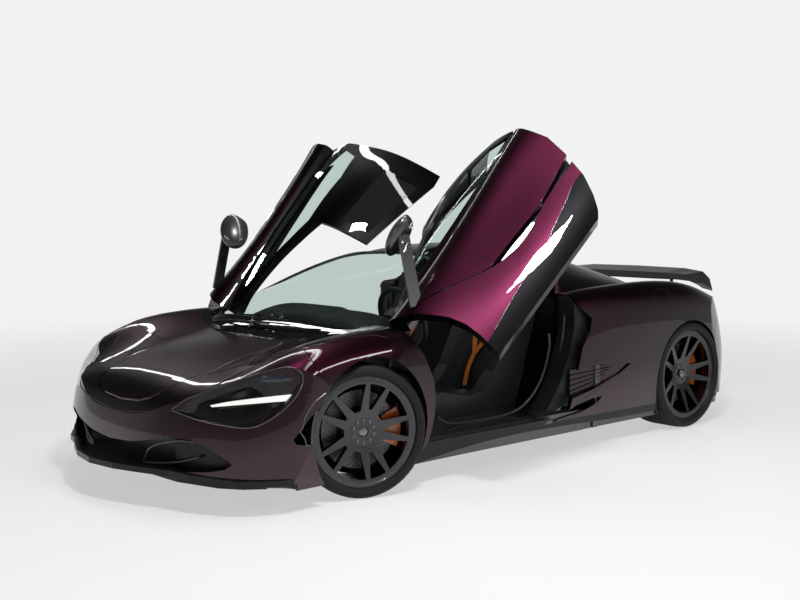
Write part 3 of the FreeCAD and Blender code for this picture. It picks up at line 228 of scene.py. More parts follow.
def bumper_material(name):
    """Plum, with a black mesh panel between and under the tail lamps."""
    half_width, half_height, middle_z, front_y = 0.86, 0.128, 0.600, 1.90
    roundness, mesh_pitch, wire_width = 4.0, 0.008, 0.0018
    material, tree, shader, plum = painted_shader(name)
    x, y, z = split(tree, object_position(tree))
    across = maths(tree, "DIVIDE", maths(tree, "ABSOLUTE", x), half_width)
    up = maths(tree, "DIVIDE", maths(tree, "SUBTRACT", z, middle_z), half_height)
    reach = maths(tree, "ADD", maths(tree, "POWER", across, roundness),
                  maths(tree, "POWER", maths(tree, "ABSOLUTE", up), roundness))
    panel = product(tree, maths(tree, "LESS_THAN", reach, 1.0),
                    maths(tree, "GREATER_THAN", y, front_y))
    rising = maths(tree, "PINGPONG", maths(tree, "ADD", x, z), mesh_pitch)
    falling = maths(tree, "PINGPONG", maths(tree, "SUBTRACT", x, z), mesh_pitch)
    wire = maths(tree, "LESS_THAN", maths(tree, "MINIMUM", rising, falling), wire_width)
    mesh = mix_colours(tree, wire, (0.0015, 0.0015, 0.0015), (0.030, 0.030, 0.031))
    link(tree, mix_colours(tree, panel, plum, mesh), shader.inputs["Base Color"])
    return material


# Lines of the shut door, (y, z)
DOOR_SKIRT = ((-0.95, 0.29), (-0.753, 0.315), (-0.500, 0.344), (-0.227, 0.362), (-0.114, 0.385),
              (0.045, 0.415), (0.149, 0.440), (0.30, 0.44))
DOOR_BELT = ((-0.95, 0.96), (-0.551, 0.898), (-0.284, 0.865), (-0.110, 0.898), (0.055, 0.878),
             (0.309, 0.885))
DOOR_CREASE = ((-0.914, 0.715), (-0.819, 0.712), (-0.723, 0.667), (-0.539, 0.559), (-0.429, 0.511),
               (-0.307, 0.481), (-0.168, 0.481), (0.000, 0.518), (0.165, 0.520), (0.287, 0.515))
DOOR_SLOT = ((-0.539, 0.559), (-0.463, 0.529), (-0.264, 0.529), (-0.179, 0.524), (0.000, 0.530),
             (0.301, 0.566))
CHANNEL_START_Y = -0.50
OUTER_SKIN_X = 0.74
OUTWARD_NORMAL = 0.18


def door_point(side):
    return (HINGE_POINT[0] * side, HINGE_POINT[1], HINGE_POINT[2])


def door_axis(side):
    return (HINGE_AXIS[0], HINGE_AXIS[1] * side, HINGE_AXIS[2] * side)


def turned(tree, vector, centre, axis, angle):
    node = tree.nodes.new("ShaderNodeVectorRotate")
    node.rotation_type = "AXIS_ANGLE"
    link(tree, vector, node.inputs["Vector"])
    set_inputs(node, {"Center": centre, "Axis": axis, "Angle": angle})
    return node.outputs[0]


def door_material(name, side):
    """Plum outer skin; black skirt, window frame and inner side; the channel recess is painted
    black, painted shade.
    """
    material, tree, shader, plum = painted_shader(name)
    axis = door_axis(side)
    shut = turned(tree, object_position(tree), door_point(side), axis, -DOOR_OPEN_ANGLE)
    x, y, z = split(tree, shut)
    normal = tree.nodes.new("ShaderNodeTexCoord").outputs["Normal"]
    facing = split(tree, turned(tree, normal, (0, 0, 0), axis, -DOOR_OPEN_ANGLE))
    outward = maths(tree, "GREATER_THAN", product(tree, facing[0], side), OUTWARD_NORMAL)
    outer = maths(tree, "GREATER_THAN", product(tree, x, side), OUTER_SKIN_X)
    above_crease = maths(tree, "SUBTRACT", 1.0, below_line(tree, y, z, DOOR_CREASE))
    # The channel recess of the outer skin turns black: painted shade in the recess.
    channel_shade = product(tree, below_line(tree, y, z, DOOR_SLOT), above_crease,
                         maths(tree, "GREATER_THAN", y, CHANNEL_START_Y))
    between = maths(tree, "SUBTRACT", below_line(tree, y, z, DOOR_BELT),
                    below_line(tree, y, z, DOOR_SKIRT))
    painted = product(tree, outward, outer, between, maths(tree, "SUBTRACT", 1.0, channel_shade))
    link(tree, mix_colours(tree, painted, BLACK, plum), shader.inputs["Base Color"])
    return material


def corner_side(corner):
    return 1 if corner.endswith("left") else -1


def wheel_place(corner):
    """(centre, turn about the upright) of a wheel as it rests."""
    side = corner_side(corner)
    if corner.startswith("rear"):
        return Vector((REAR_WHEEL_X * side, REAR_AXLE_Y, REAR_TYRE_RADIUS)), 0.0
    offset = Matrix.Rotation(STEER_ANGLE, 3, "Z") @ Vector((KINGPIN_OFFSET * side, 0, 0))
    return Vector((KINGPIN_X * side, FRONT_AXLE_Y, FRONT_TYRE_RADIUS)) + offset, STEER_ANGLE


def wheel_polar(tree, corner):
    """(across, radius, angle) about the wheel's own axle."""
    centre, turn = wheel_place(corner)
    x, y, z = split(tree, turned(tree, object_position(tree), centre, (0, 0, 1), -turn))
    across = maths(tree, "SUBTRACT", x, centre.x)
    run = maths(tree, "SUBTRACT", y, centre.y)
    rise = maths(tree, "SUBTRACT", z, centre.z)
    return across, length_of(tree, run, rise), maths(tree, "ARCTAN2", rise, run)


def disc_material(corner):
    """Worn brake steel with a dark bell, and spiral rows of drilled holes drawn as near-black dots:
    painted shade inside the holes.
    """
    holes_a_row, row_step, row_shift = 36, 0.0135, 0.41
    hole_radius, bell_radius = 0.0036, 0.112
    material, tree, shader = new_material("disc_" + corner)
    set_inputs(shader, {"Metallic": 0.85, "Roughness": 0.42})
    across, radius, angle = wheel_polar(tree, corner)
    rows = maths(tree, "DIVIDE", radius, row_step)
    turns = maths(tree, "ADD", product(tree, angle, holes_a_row / FULL_TURN),
                  product(tree, maths(tree, "FLOOR", rows), row_shift))
    round_way = product(tree, maths(tree, "SUBTRACT", maths(tree, "FRACT", turns), 0.5),
                        product(tree, radius, FULL_TURN / holes_a_row))
    out_way = product(tree, maths(tree, "SUBTRACT", maths(tree, "FRACT", rows), 0.5), row_step)
    # Near-black dots for the drilled holes: painted shade inside them.
    hole_shade = maths(tree, "LESS_THAN", length_of(tree, round_way, out_way), hole_radius)
    bell = maths(tree, "LESS_THAN", radius, bell_radius)
    steel = mix_colours(tree, noise_factor(tree, 300.0), (0.10, 0.10, 0.105), (0.15, 0.15, 0.155))
    steel = mix_colours(tree, hole_shade, steel, (0.006, 0.006, 0.006))
    link(tree, mix_colours(tree, bell, steel, (0.02, 0.02, 0.021)), shader.inputs["Base Color"])
    return material


def rim_material(corner):
    """Graphite spokes; the barrel behind them is painted near black, painted shade."""
    spoke_back = 0.020
    material, tree, shader = new_material("rim_" + corner)
    set_inputs(shader, {"Metallic": 1.0, "Roughness": 0.24, "Coat Weight": 0.1})
    across, radius, angle = wheel_polar(tree, corner)
    # Everything behind the face of the spokes is darkened: painted shade in the barrel.
    barrel_shade = maths(tree, "LESS_THAN", product(tree, across, corner_side(corner)), spoke_back)
    graphite = mix_colours(tree, noise_factor(tree, 30.0), (0.060, 0.060, 0.064),
                           (0.078, 0.078, 0.082))
    link(tree, mix_colours(tree, barrel_shade, graphite, (0.007, 0.007, 0.0075)),
         shader.inputs["Base Color"])
    return material


def glass_material(name, colour, skin, border=None):
    """Thin glass: what lies behind it, tinted, under a reflecting skin. The border is a span
    of y, (low, high), where the glass is black."""
    material, tree, shader = new_material(name)
    set_inputs(shader, {"Base Color": (0.004, 0.004, 0.004, 1.0), "Roughness": 0.01, "IOR": 1.9})
    clear = tree.nodes.new("ShaderNodeBsdfTransparent")
    link(tree, mix_colours(tree, noise_factor(tree, 3.0), scaled(colour, 0.97), colour),
         clear.inputs["Color"])
    mix = tree.nodes.new("ShaderNodeMixShader")
    if border is None:
        mix.inputs[0].default_value = skin
    else:
        x, y, z = split(tree, object_position(tree))
        inside = product(tree, maths(tree, "GREATER_THAN", y, border[0]),
                         maths(tree, "LESS_THAN", y, border[1]))
        link(tree, maths(tree, "MAXIMUM", inside, skin), mix.inputs[0])
    link(tree, clear.outputs[0], mix.inputs[1])
    link(tree, shader.outputs[0], mix.inputs[2])
    link(tree, mix.outputs[0], tree.nodes["Material Output"].inputs["Surface"])
    return material


def glowing_material(name, colour, strength):
    material, tree, shader = new_material(name)
    set_inputs(shader, {"Roughness": 0.2, "Emission Strength": strength})
    tone = mix_colours(tree, noise_factor(tree, 40.0), scaled(colour, 0.96), colour)
    link(tree, tone, shader.inputs["Base Color"])
    link(tree, tone, shader.inputs["Emission Color"])
    return material


# Finishes: name, colour, metallic, roughness, coat, shade, grain, bump, shine
paint = paint_material("plum_paint")
trim_black = finish("trim_black", (0.004, 0.004, 0.0045), 0.0, 0.28, 0.0, 0.8, 60.0, 0.02, 0.3)
gloss_black = finish("gloss_black", (0.004, 0.004, 0.0045), 0.0, 0.10, 1.0, 0.8, 40.0, 0.0)
satin_black = finish("satin_black", (0.010, 0.010, 0.011), 0.0, 0.45, 0.0, 0.8, 80.0, 0.05, 0.3)
carbon = finish("dark_carbon", (0.014, 0.014, 0.015), 0.0, 0.22, 1.0, 0.6, 220.0, 0.01)
wing_carbon = finish("wing_carbon", (0.030, 0.030, 0.032), 0.2, 0.28, 1.0, 0.8, 220.0, 0.01)
seal_rubber = finish("seal_rubber", (0.055, 0.054, 0.052), 0.0, 0.35, 0.3, 0.85, 90.0, 0.02)
edge_metal = finish("edge_metal", (0.20, 0.19, 0.19), 0.8, 0.25, 0.4, 0.85, 90.0, 0.0)
trim_grey = finish("trim_grey", (0.10, 0.10, 0.10), 0.5, 0.28, 0.5, 0.85, 90.0, 0.0)
caliper_paint = finish("orange_caliper", (0.74, 0.155, 0.010), 0.0, 0.3, 0.8, 0.9, 20.0, 0.0)
rubber = finish("tyre_rubber", (0.012, 0.012, 0.0125), 0.0, 0.55, 0.0, 0.8, 160.0, 0.15, 0.2)
leather = finish("grey_leather", (0.020, 0.0195, 0.0195), 0.0, 0.42, 0.1, 0.8, 400.0, 0.25, 0.4)
dash_trim = finish("dash_trim", (0.012, 0.012, 0.012), 0.0, 0.5, 0.0, 0.8, 400.0, 0.2, 0.3)
cast_metal = finish("cast_metal", (0.10, 0.10, 0.105), 0.7, 0.5, 0.0, 0.8, 120.0, 0.1)
engine_metal = finish("engine_metal", (0.06, 0.06, 0.065), 0.6, 0.5, 0.0, 0.7, 60.0, 0.1)
exhaust_metal = finish("exhaust_metal", (0.35, 0.34, 0.33), 1.0, 0.25, 0.0, 0.8, 90.0, 0.02)
lamp_dark = finish("lamp_dark", (0.006, 0.006, 0.007), 0.2, 0.16, 0.8, 0.7, 60.0, 0.0)
red_lamp = finish("red_lamp", (0.22, 0.004, 0.006), 0.0, 0.12, 1.0, 0.7, 60.0, 0.0)
belt_web = finish("belt_web", (0.62, 0.17, 0.018), 0.0, 0.6, 0.0, 0.75, 500.0, 0.2)
lens_blue = finish("lamp_lens", (0.05, 0.07, 0.11), 0.5, 0.12, 1.0, 0.5, 70.0, 0.05)
screen_glass = finish("screen_glass", (0.004, 0.005, 0.006), 0.0, 0.08, 1.0, 0.8, 30.0, 0.0)
mirror_silver = finish("mirror_silver", (0.75, 0.77, 0.78), 1.0, 0.03, 0.0, 0.97, 20.0, 0.0)
lamp_white = glowing_material("lamp_white", (0.93, 0.95, 0.90), 0.75)
GREEN_TINT = (0.90, 0.98, 0.95)
tinted_glass = glass_material("tinted_glass", GREEN_TINT, 0.16)
windscreen_glass = glass_material("windscreen_glass", GREEN_TINT, 0.16, (-1.6, -1.145))
roof_glass = glass_material("roof_glass", (0.16, 0.17, 0.17), 0.25)
lamp_glass = glass_material("lamp_glass", (0.98, 0.98, 0.98), 0.12)

FINISHES = {
    "tub": carbon, "nose": paint, "bonnet": paint, "lower_trim": trim_black,
    "canopy_frame": gloss_black, "fixed_glass": windscreen_glass, "engine_cover": gloss_black,
    "rear_bumper": bumper_material("rear_bumper"), "diffuser": carbon, "headlamps": lamp_dark,
    "tail_lamps": red_lamp, "exhaust_tips": exhaust_metal, "engine_block": engine_metal,
    "seats": leather, "dashboard": dash_trim, "steering_wheel": dash_trim,
    "rear_wing": wing_carbon, "suspension_arms": cast_metal, "rear_calipers": caliper_paint,
}
for side, name in SIDES:
    FINISHES["front_wing_" + name] = paint
    FINISHES["quarter_" + name] = quarter_material("quarter_" + name)
    FINISHES["door_" + name] = door_material("door_" + name, side)
    FINISHES["door_glass_" + name] = tinted_glass
    FINISHES["mirror_" + name] = wing_carbon
    FINISHES["knuckle_" + name] = cast_metal
    FINISHES["caliper_" + name] = caliper_paint
for corner in CORNERS:
    FINISHES["tyre_" + corner] = rubber
    FINISHES["rim_" + corner] = rim_material(corner)
    FINISHES["disc_" + corner] = disc_material(corner)
for node_name, material in FINISHES.items():
    nodes[node_name].data.materials.clear()
    nodes[node_name].data.materials.append(material)


def refinish(node_name, material, chosen):
    """Gives a second finish to the faces whose middle chosen() picks."""
    item = nodes[node_name]
    item.data.materials.append(material)
    index = len(item.data.materials) - 1
    for face in item.data.polygons:
        if chosen(item.matrix_world @ face.center):
            face.material_index = index


def shut_matrix(side):
    """Carries a point of the shut door to where it rests, open."""
    point = Vector(door_point(side))
    turn = Matrix.Rotation(DOOR_OPEN_ANGLE, 4, Vector(door_axis(side)))
    return Matrix.Translation(point) @ turn @ Matrix.Translation(-point)


def in_roof(place, to_shut):
    """Whether a point of the open door is in the roof once the door is shut."""
    shut = to_shut @ place
    return shut.z > 1.125 and shut.y > -0.45


refinish("fixed_glass", lamp_glass, lambda place: place.y < -1.6)
refinish("canopy_frame", satin_black, lambda place: place.z < 0.92 and place.y > 0.0)
for side, name in SIDES:
    opened = shut_matrix(side).inverted()
    refinish("door_glass_" + name, roof_glass, lambda place, opened=opened: in_roof(place, opened))


# Geometry building
def surface_of(*names):
    points, faces = [], []
    for name in names:
        item = nodes[name]
        first = len(points)
        points.extend(item.matrix_world @ vertex.co for vertex in item.data.vertices)
        faces.extend([first + index for index in face.vertices] for face in item.data.polygons)
    return BVHTree.FromPolygons(points, faces)


def land(surface, origin, direction, lift):
    """Where a ray meets the surface, lifted off it; None if it misses."""
    way = Vector(direction)
    place, normal, index, distance = surface.ray_cast(Vector(origin), way)
    if place is None:
        return None
    if normal.dot(way) > 0:
        normal = -normal
    return place + normal * lift


def smooth_path(points, steps=6):
    """A curve through the points."""
    points = [Vector(p) for p in points]
    ends = [2 * points[0] - points[1]] + points + [2 * points[-1] - points[-2]]
    path = []
    for k in range(1, len(ends) - 2):
        p0, p1, p2, p3 = ends[k - 1:k + 3]
        for step in range(steps):
            t = step / steps
            path.append(0.5 * (2 * p1 + (p2 - p0) * t + (2 * p0 - 5 * p1 + 4 * p2 - p3) * t * t
                               + (3 * p1 - p0 - 3 * p2 + p3) * t * t * t))
    return path + [points[-1]]


def landed_path(surface, points, direction, lift=0.0, back=0.0):
    """The points, moved back and then cast onto the surface; those that miss are left out."""
    way = Vector(direction)
    path = [land(surface, Vector(p) - way * back, way, lift) for p in points]
    return [p for p in path if p is not None]


def settle(item, material, node_name):
    """Gives a new piece its finish and lets it ride with the node's body."""
    item.data.materials.append(material)
    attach(item, body_of(nodes[node_name])[0])
    return item


def line_piece(name, paths, radius, material, node_name, closed=False):
    """A round bead along each path."""
    data = bpy.data.curves.new(name, "CURVE")
    data.dimensions = "3D"
    data.bevel_depth = radius
    data.bevel_resolution = 2
    data.use_fill_caps = True
    for path in paths:
        if len(path) < 2:
            continue
        spline = data.splines.new("POLY")
        spline.points.add(len(path) - 1)
        for knot, place in zip(spline.points, path):
            knot.co = (*place, 1.0)
        spline.use_cyclic_u = closed
        spline.use_smooth = True
    item = bpy.data.objects.new(name, data)
    bpy.context.scene.collection.objects.link(item)
    return settle(item, material, node_name)


def mesh_piece(name, vertices, faces, material, node_name, smooth=True):
    data = bpy.data.meshes.new(name)
    data.from_pydata([tuple(v) for v in vertices], [], faces)
    data.update()
    if smooth:
        for face in data.polygons:
            face.use_smooth = True
    item = bpy.data.objects.new(name, data)
    bpy.context.scene.collection.objects.link(item)
    return settle(item, material, node_name)


def sample(points, share):
    """The point at that share of the way along a polyline."""
    points = [Vector(p) for p in points]
    lengths = [(b - a).length for a, b in zip(points, points[1:])]
    run = share * sum(lengths)
    for a, b, length in zip(points, points[1:], lengths):
        if run <= length or b is points[-1]:
            return a.lerp(b, min(1.0, run / length)) if length else a
        run -= length
    return points[-1]


def patch_piece(name, edge_a, edge_b, surface, direction, lift, material, node_name,
                columns=24, rows=8, swell=None):
    """A skin laid on the surface between two edges; swell(u, v) adds to its lift."""
    start_back, longest_side = 1.5, 0.12
    way = Vector(direction).normalized()
    vertices, faces, known = [], [], {}
    for i in range(columns + 1):
        for j in range(rows + 1):
            u, v = i / columns, j / rows
            place = sample(edge_a, u).lerp(sample(edge_b, u), v)
            extra = swell(u, v) if swell else 0.0
            spot = land(surface, place - way * start_back, way, lift + extra)
            if spot is not None:
                known[i, j] = len(vertices)
                vertices.append(spot)
    for i in range(columns):
        for j in range(rows):
            corners = ((i, j), (i + 1, j), (i + 1, j + 1), (i, j + 1))
            if all(c in known for c in corners):
                places = [vertices[known[c]] for c in corners]
                if max((a - b).length for a in places for b in places) < longest_side:
                    faces.append([known[c] for c in corners])
    return mesh_piece(name, vertices, faces, material, node_name)


def mirrored(points, side):
    return [(p[0] * side, p[1], p[2]) for p in points]


def on_circle(across, radius, angle):
    """A point about an axle that runs along X."""
    return Vector((across, radius * math.cos(angle), radius * math.sin(angle)))


def ring_faces(first, row, count):
    """The band of faces between one ring of a turned mesh and the next."""
    faces = []
    for k in range(count):
        after = (k + 1) % count
        faces.append([first + row * count + k, first + row * count + after,
                      first + (row + 1) * count + after, first + (row + 1) * count + k])
    return faces


# Wheels: tread blocks, a lip bead that is partly painted highlight, cap, a dust shield that is
# partly painted shade, and bolts
RIBS = ((-1.0, -0.64), (-0.56, -0.20), (-0.12, 0.12), (0.20, 0.56), (0.64, 1.0))
PITCHES = 66
BLOCK_SHARE = 0.80
BLOCK_SLANT = 0.045
BLOCK_FOOT, BLOCK_TOP = -0.002, 0.0022
TREAD_HALF_WIDTH = {"front": 0.104, "rear": 0.124}
TYRE_RADIUS = {"front": FRONT_TYRE_RADIUS, "rear": REAR_TYRE_RADIUS}
RIM_EDGE_RADIUS = {"front": 0.262, "rear": 0.276}
PROBE_GAP = 0.05
LIP_STEPS = 72
BOLTS = 10
BOLT_CIRCLE = 0.056
BOLT_RINGS = ((0.0088, -0.004), (0.0088, 0.004), (0.0055, 0.006))
CAP_RINGS = ((0.001, 0.006), (0.018, 0.0055), (0.024, 0.003), (0.026, -0.002))
SHIELD_RINGS = ((0.075, -0.040), (0.228, -0.040), (0.232, -0.034), (0.228, -0.043), (0.075, -0.043))


def tread(corner, to_world):
    axle = corner.split("_")[0]
    radius, half = TYRE_RADIUS[axle], TREAD_HALF_WIDTH[axle]
    surface = surface_of("tyre_" + corner)
    way = (to_world.to_3x3() @ Vector((0, -1, 0))).normalized()
    crown = {}
    for edge in (edge for rib in RIBS for edge in rib):
        start = to_world @ Vector((edge * half, radius + PROBE_GAP, 0))
        place, normal, index, distance = surface.ray_cast(start, way)
        crown[edge] = radius + PROBE_GAP - distance if place is not None else radius
    vertices, faces = [], []
    for pitch in range(PITCHES):
        for number, (low, high) in enumerate(RIBS):
            start = (pitch + 0.5 * (number % 2)) * FULL_TURN / PITCHES
            step = FULL_TURN / PITCHES * BLOCK_SHARE
            first = len(vertices)
            for lift in (BLOCK_FOOT, BLOCK_TOP):
                for edge, late in ((low, 0), (high, 0), (high, 1), (low, 1)):
                    angle = start + step * late + abs(edge) * BLOCK_SLANT
                    vertices.append(to_world @ on_circle(edge * half, crown[edge] + lift, angle))
            faces.append([first + k for k in (4, 5, 6, 7)])
            faces.extend(ring_faces(first, 0, 4))
    mesh_piece("tread_" + corner, vertices, faces, rubber, "tyre_" + corner, False)


def turned_piece(name, to_world, profile, material, node_name, count=28):
    """Revolves (radius, across) pairs about the wheel's axle."""
    vertices = [to_world @ on_circle(across, radius, FULL_TURN * k / count)
                for radius, across in profile for k in range(count)]
    faces = [face for row in range(len(profile) - 1) for face in ring_faces(0, row, count)]
    return mesh_piece(name, vertices, faces, material, node_name)


def wheel_trim(corner, to_world):
    axle, side_name = corner.split("_")
    side = corner_side(corner)
    rim = "rim_" + corner
    rim_surface = surface_of(rim)
    inward = (to_world.to_3x3() @ Vector((-side, 0, 0))).normalized()

    def across_at(radius, angle):
        """How far out the rim's face lies there; None through a gap."""
        start = to_world @ on_circle(0.5 * side, radius, angle)
        place, normal, index, distance = rim_surface.ray_cast(start, inward)
        return (0.5 - distance) * side if place is not None else None

    # A lighter grey bead along the rim's outer edge: partly the lip itself, partly a painted
    # highlight on it.
    lip = []
    for k in range(LIP_STEPS):
        angle = FULL_TURN * k / LIP_STEPS
        across = across_at(RIM_EDGE_RADIUS[axle], angle)
        if across is not None:
            lip.append(to_world @ on_circle(across, RIM_EDGE_RADIUS[axle], angle))
    line_piece("rim_lip_highlight_" + corner, [lip], 0.0022, trim_grey, rim, True)
    hub = across_at(0.020, 0.4)
    hub = hub if hub is not None else 0.08 * side
    turned_piece("hub_cap_" + corner, to_world,
                 [(radius, hub + out * side) for radius, out in CAP_RINGS], edge_metal, rim)
    # A satin-black dust shield behind the disc, partly a real part and partly painted shade: it
    # hides the floor, which lies in shade under the car.
    turned_piece("dust_shield_shade_" + corner, to_world,
                 [(radius, out * side) for radius, out in SHIELD_RINGS], satin_black,
                 "knuckle_" + side_name if axle == "front" else "tub", 40)
    vertices, faces = [], []
    for k in range(BOLTS):
        angle = FULL_TURN * (k + 0.5) / BOLTS
        across = across_at(BOLT_CIRCLE, angle)
        if across is None:
            continue
        middle = on_circle(across, BOLT_CIRCLE, angle)
        first = len(vertices)
        for size, out in BOLT_RINGS:
            for flat in range(6):
                edge = on_circle(out * side, size, math.pi / 3 * flat)
                vertices.append(to_world @ (middle + edge))
        faces.extend(ring_faces(first, 0, 6) + ring_faces(first, 1, 6))
        faces.append([first + 12 + c for c in range(6)])
    mesh_piece("wheel_bolts_" + corner, vertices, faces, trim_grey, rim, False)


for corner in CORNERS:
    centre, turn = wheel_place(corner)
    placed = Matrix.Translation(centre) @ Matrix.Rotation(turn, 4, "Z")
    tread(corner, placed)
    wheel_trim(corner, placed)

# Doors: crease edges, a grey skirt strip that is partly painted highlight, and mirror glass, laid
# on the shut door and carried open
MIRROR_EDGE_GAP, MIRROR_TOP_GAP = 0.100, 0.085
MIRROR_HALF_WIDTH, MIRROR_HALF_HEIGHT = 0.078, 0.052
MIRROR_STEPS = 28
MIRROR_LIFT = 0.0015


def door_lines(side, name):
    carry = shut_matrix(side)
    surface = surface_of("door_" + name)
    way = carry.to_3x3() @ Vector((-side, 0, 0))
    for label, line, radius, material in (
            ("door_crease_", DOOR_CREASE, 0.0022, paint),
            ("door_shut_edge_", DOOR_SLOT[1:], 0.0018, paint),
            # The grey metal skirt strip is partly an edge bead, partly a painted highlight on that
            # edge.
            ("door_skirt_edge_highlight_", DOOR_SKIRT[1:-1], 0.0022, edge_metal)):
        points = smooth_path([(1.2 * side, y, z) for y, z in line])
        path = landed_path(surface, [carry @ place for place in points], way)
        line_piece(label + name, [path], radius, material, "door_" + name)


def mirror_glass(side, name):
    carry = shut_matrix(side)
    to_shut = carry.inverted()
    mirror = nodes["mirror_" + name]
    surface = surface_of("mirror_" + name)
    corners = [to_shut @ (mirror.matrix_world @ vertex.co) for vertex in mirror.data.vertices]
    low = Vector([min(c[k] for c in corners) for k in range(3)])
    high = Vector([max(c[k] for c in corners) for k in range(3)])
    outer = high.x if side > 0 else -low.x
    middle = Vector(((outer - MIRROR_EDGE_GAP) * side, high.y + 0.3, high.z - MIRROR_TOP_GAP))
    way = carry.to_3x3() @ Vector((0, -1, 0))
    centre = land(surface, carry @ middle, way, MIRROR_LIFT)
    if centre is None:
        return
    vertices, faces = [centre], []
    for share in (0.35, 0.7, 1.0):
        for k in range(MIRROR_STEPS):
            angle = FULL_TURN * k / MIRROR_STEPS
            start = middle + Vector((MIRROR_HALF_WIDTH * share * math.cos(angle), 0,
                                     MIRROR_HALF_HEIGHT * share * math.sin(angle)))
            spot = land(surface, carry @ start, way, MIRROR_LIFT)
            vertices.append(spot if spot is not None else centre)
    for k in range(MIRROR_STEPS):
        faces.append([0, 1 + k, 1 + (k + 1) % MIRROR_STEPS])
    faces.extend(ring_faces(1, 0, MIRROR_STEPS) + ring_faces(1, 1, MIRROR_STEPS))
    mesh_piece("mirror_glass_" + name, vertices, faces, mirror_silver, "mirror_" + name)


for side, name in SIDES:
    door_lines(side, name)
    mirror_glass(side, name)

# Front: lamp lenses and strips, vents in the bonnet's flanks with dark patches of painted shade for
# their openings, shut slot and intake frames
lamp_surface = surface_of("headlamps")
front_surface = surface_of("nose", "bonnet", "front_wing_left", "front_wing_right")
LENS_TOP = ((0.805, -1.80, 0.640), (0.855, -1.75, 0.648), (0.900, -1.69, 0.646))
LENS_FOOT = ((0.815, -1.80, 0.612), (0.860, -1.74, 0.614), (0.905, -1.68, 0.614))
LAMP_STRIP_TOP = ((0.674, -1.996, 0.506), (0.743, -1.946, 0.525), (0.826, -1.865, 0.542),
                  (0.880, -1.785, 0.551), (0.917, -1.710, 0.556))
LAMP_STRIP_FOOT = ((0.684, -1.994, 0.499), (0.748, -1.949, 0.508), (0.832, -1.862, 0.519),
                   (0.885, -1.785, 0.525), (0.918, -1.718, 0.527))
STRIP_SHIFT = Vector((-0.008, 0.010, 0))
VENT_OUTER = ((-0.415, -1.853, 0), (-0.514, -1.730, 0), (-0.581, -1.611, 0), (-0.621, -1.524, 0))
VENT_INNER = ((-0.415, -1.853, 0), (-0.445, -1.777, 0), (-0.539, -1.665, 0), (-0.621, -1.524, 0))
VENT_FILL = 0.55
BONNET_SLOT = ((-0.60, 0, 0.500), (-0.480, 0, 0.472), (-0.277, 0, 0.440), (0.0, 0, 0.417),
               (0.277, 0, 0.440), (0.480, 0, 0.472), (0.60, 0, 0.500))
INTAKE_TOP = ((0.266, -2.118, 0.194), (0.300, -2.120, 0.235), (0.348, -2.118, 0.279),
              (0.420, -2.095, 0.308), (0.504, -2.055, 0.326), (0.570, -2.015, 0.322))
INTAKE_FOOT = ((0.266, -2.118, 0.192), (0.380, -2.090, 0.203), (0.490, -2.045, 0.222),
               (0.592, -2.000, 0.254))


def lens_swell(u, v):
    """Three lenses side by side."""
    return 0.005 * math.sin(math.pi * v) * abs(math.sin(math.pi * 3 * u))


def lamp_strip(side, name):
    """The white ribbon, with a thickness, between its top and its foot."""
    edges = [[Vector(p) + STRIP_SHIFT for p in smooth_path(line)]
             for line in (LAMP_STRIP_TOP, LAMP_STRIP_FOOT)]
    vertices = [Vector((p.x * side, p.y, p.z)) for pair in zip(*edges) for p in pair]
    back = len(vertices)
    vertices += [v + Vector((-0.003 * side, 0.004, 0)) for v in vertices]
    faces = []
    for a in range(0, back - 2, 2):
        faces += [[a, a + 1, a + 3, a + 2],
                  [a + back, a + back + 1, a + back + 3, a + back + 2],
                  [a, a + 2, a + 2 + back, a + back],
                  [a + 1, a + 3, a + 3 + back, a + 1 + back]]
    mesh_piece("lamp_strip_" + name, vertices, faces, lamp_white, "headlamps", False)


def bonnet_vent(side, name):
    above = Vector((0, 0, 1.2))
    middle = [Vector(a).lerp(Vector(b), 0.5) for a, b in zip(VENT_OUTER, VENT_INNER)]
    slim = [[b.lerp(Vector(a), VENT_FILL) + above for a, b in zip(edge, middle)]
            for edge in (VENT_OUTER, VENT_INNER)]
    # A satin-black patch on the closed skin stands for the vent's opening: painted shade.
    patch_piece("bonnet_vent_shade_" + name, mirrored(slim[0], -side), mirrored(slim[1], -side),
                front_surface, (0, 0, -1), 0.0012, satin_black, "nose", 28, 6)
    for label, edge, radius, material in (("outer", VENT_OUTER, 0.0028, paint),
                                          ("inner", VENT_INNER, 0.0014, satin_black)):
        points = [p + Vector((0, 0, 0.7)) for p in smooth_path(mirrored(edge, -side))]
        path = landed_path(front_surface, points, (0, 0, -1), 0.0, 0.6)
        line_piece("vent_%s_rim_%s" % (label, name), [path], radius, material, "nose")


for side, name in SIDES:
    patch_piece("lamp_lens_" + name, mirrored(LENS_TOP, side), mirrored(LENS_FOOT, side),
                lamp_surface, (-0.62 * side, 0.78, 0.0), 0.004, lens_blue, "headlamps", 18, 6,
                lens_swell)
    lamp_strip(side, name)
    bonnet_vent(side, name)
slot_start = [Vector((x, -1.2, z)) for x, y, z in smooth_path(BONNET_SLOT)]
line_piece("bonnet_slot", [landed_path(front_surface, slot_start, (0, 1, 0), 0.0, 2.0)], 0.0028,
           satin_black, "nose")
for side, name in SIDES:
    frames = [smooth_path(mirrored(line, side)) for line in (INTAKE_TOP, INTAKE_FOOT)]
    line_piece("intake_frame_" + name, frames, 0.0060, trim_grey, "nose")

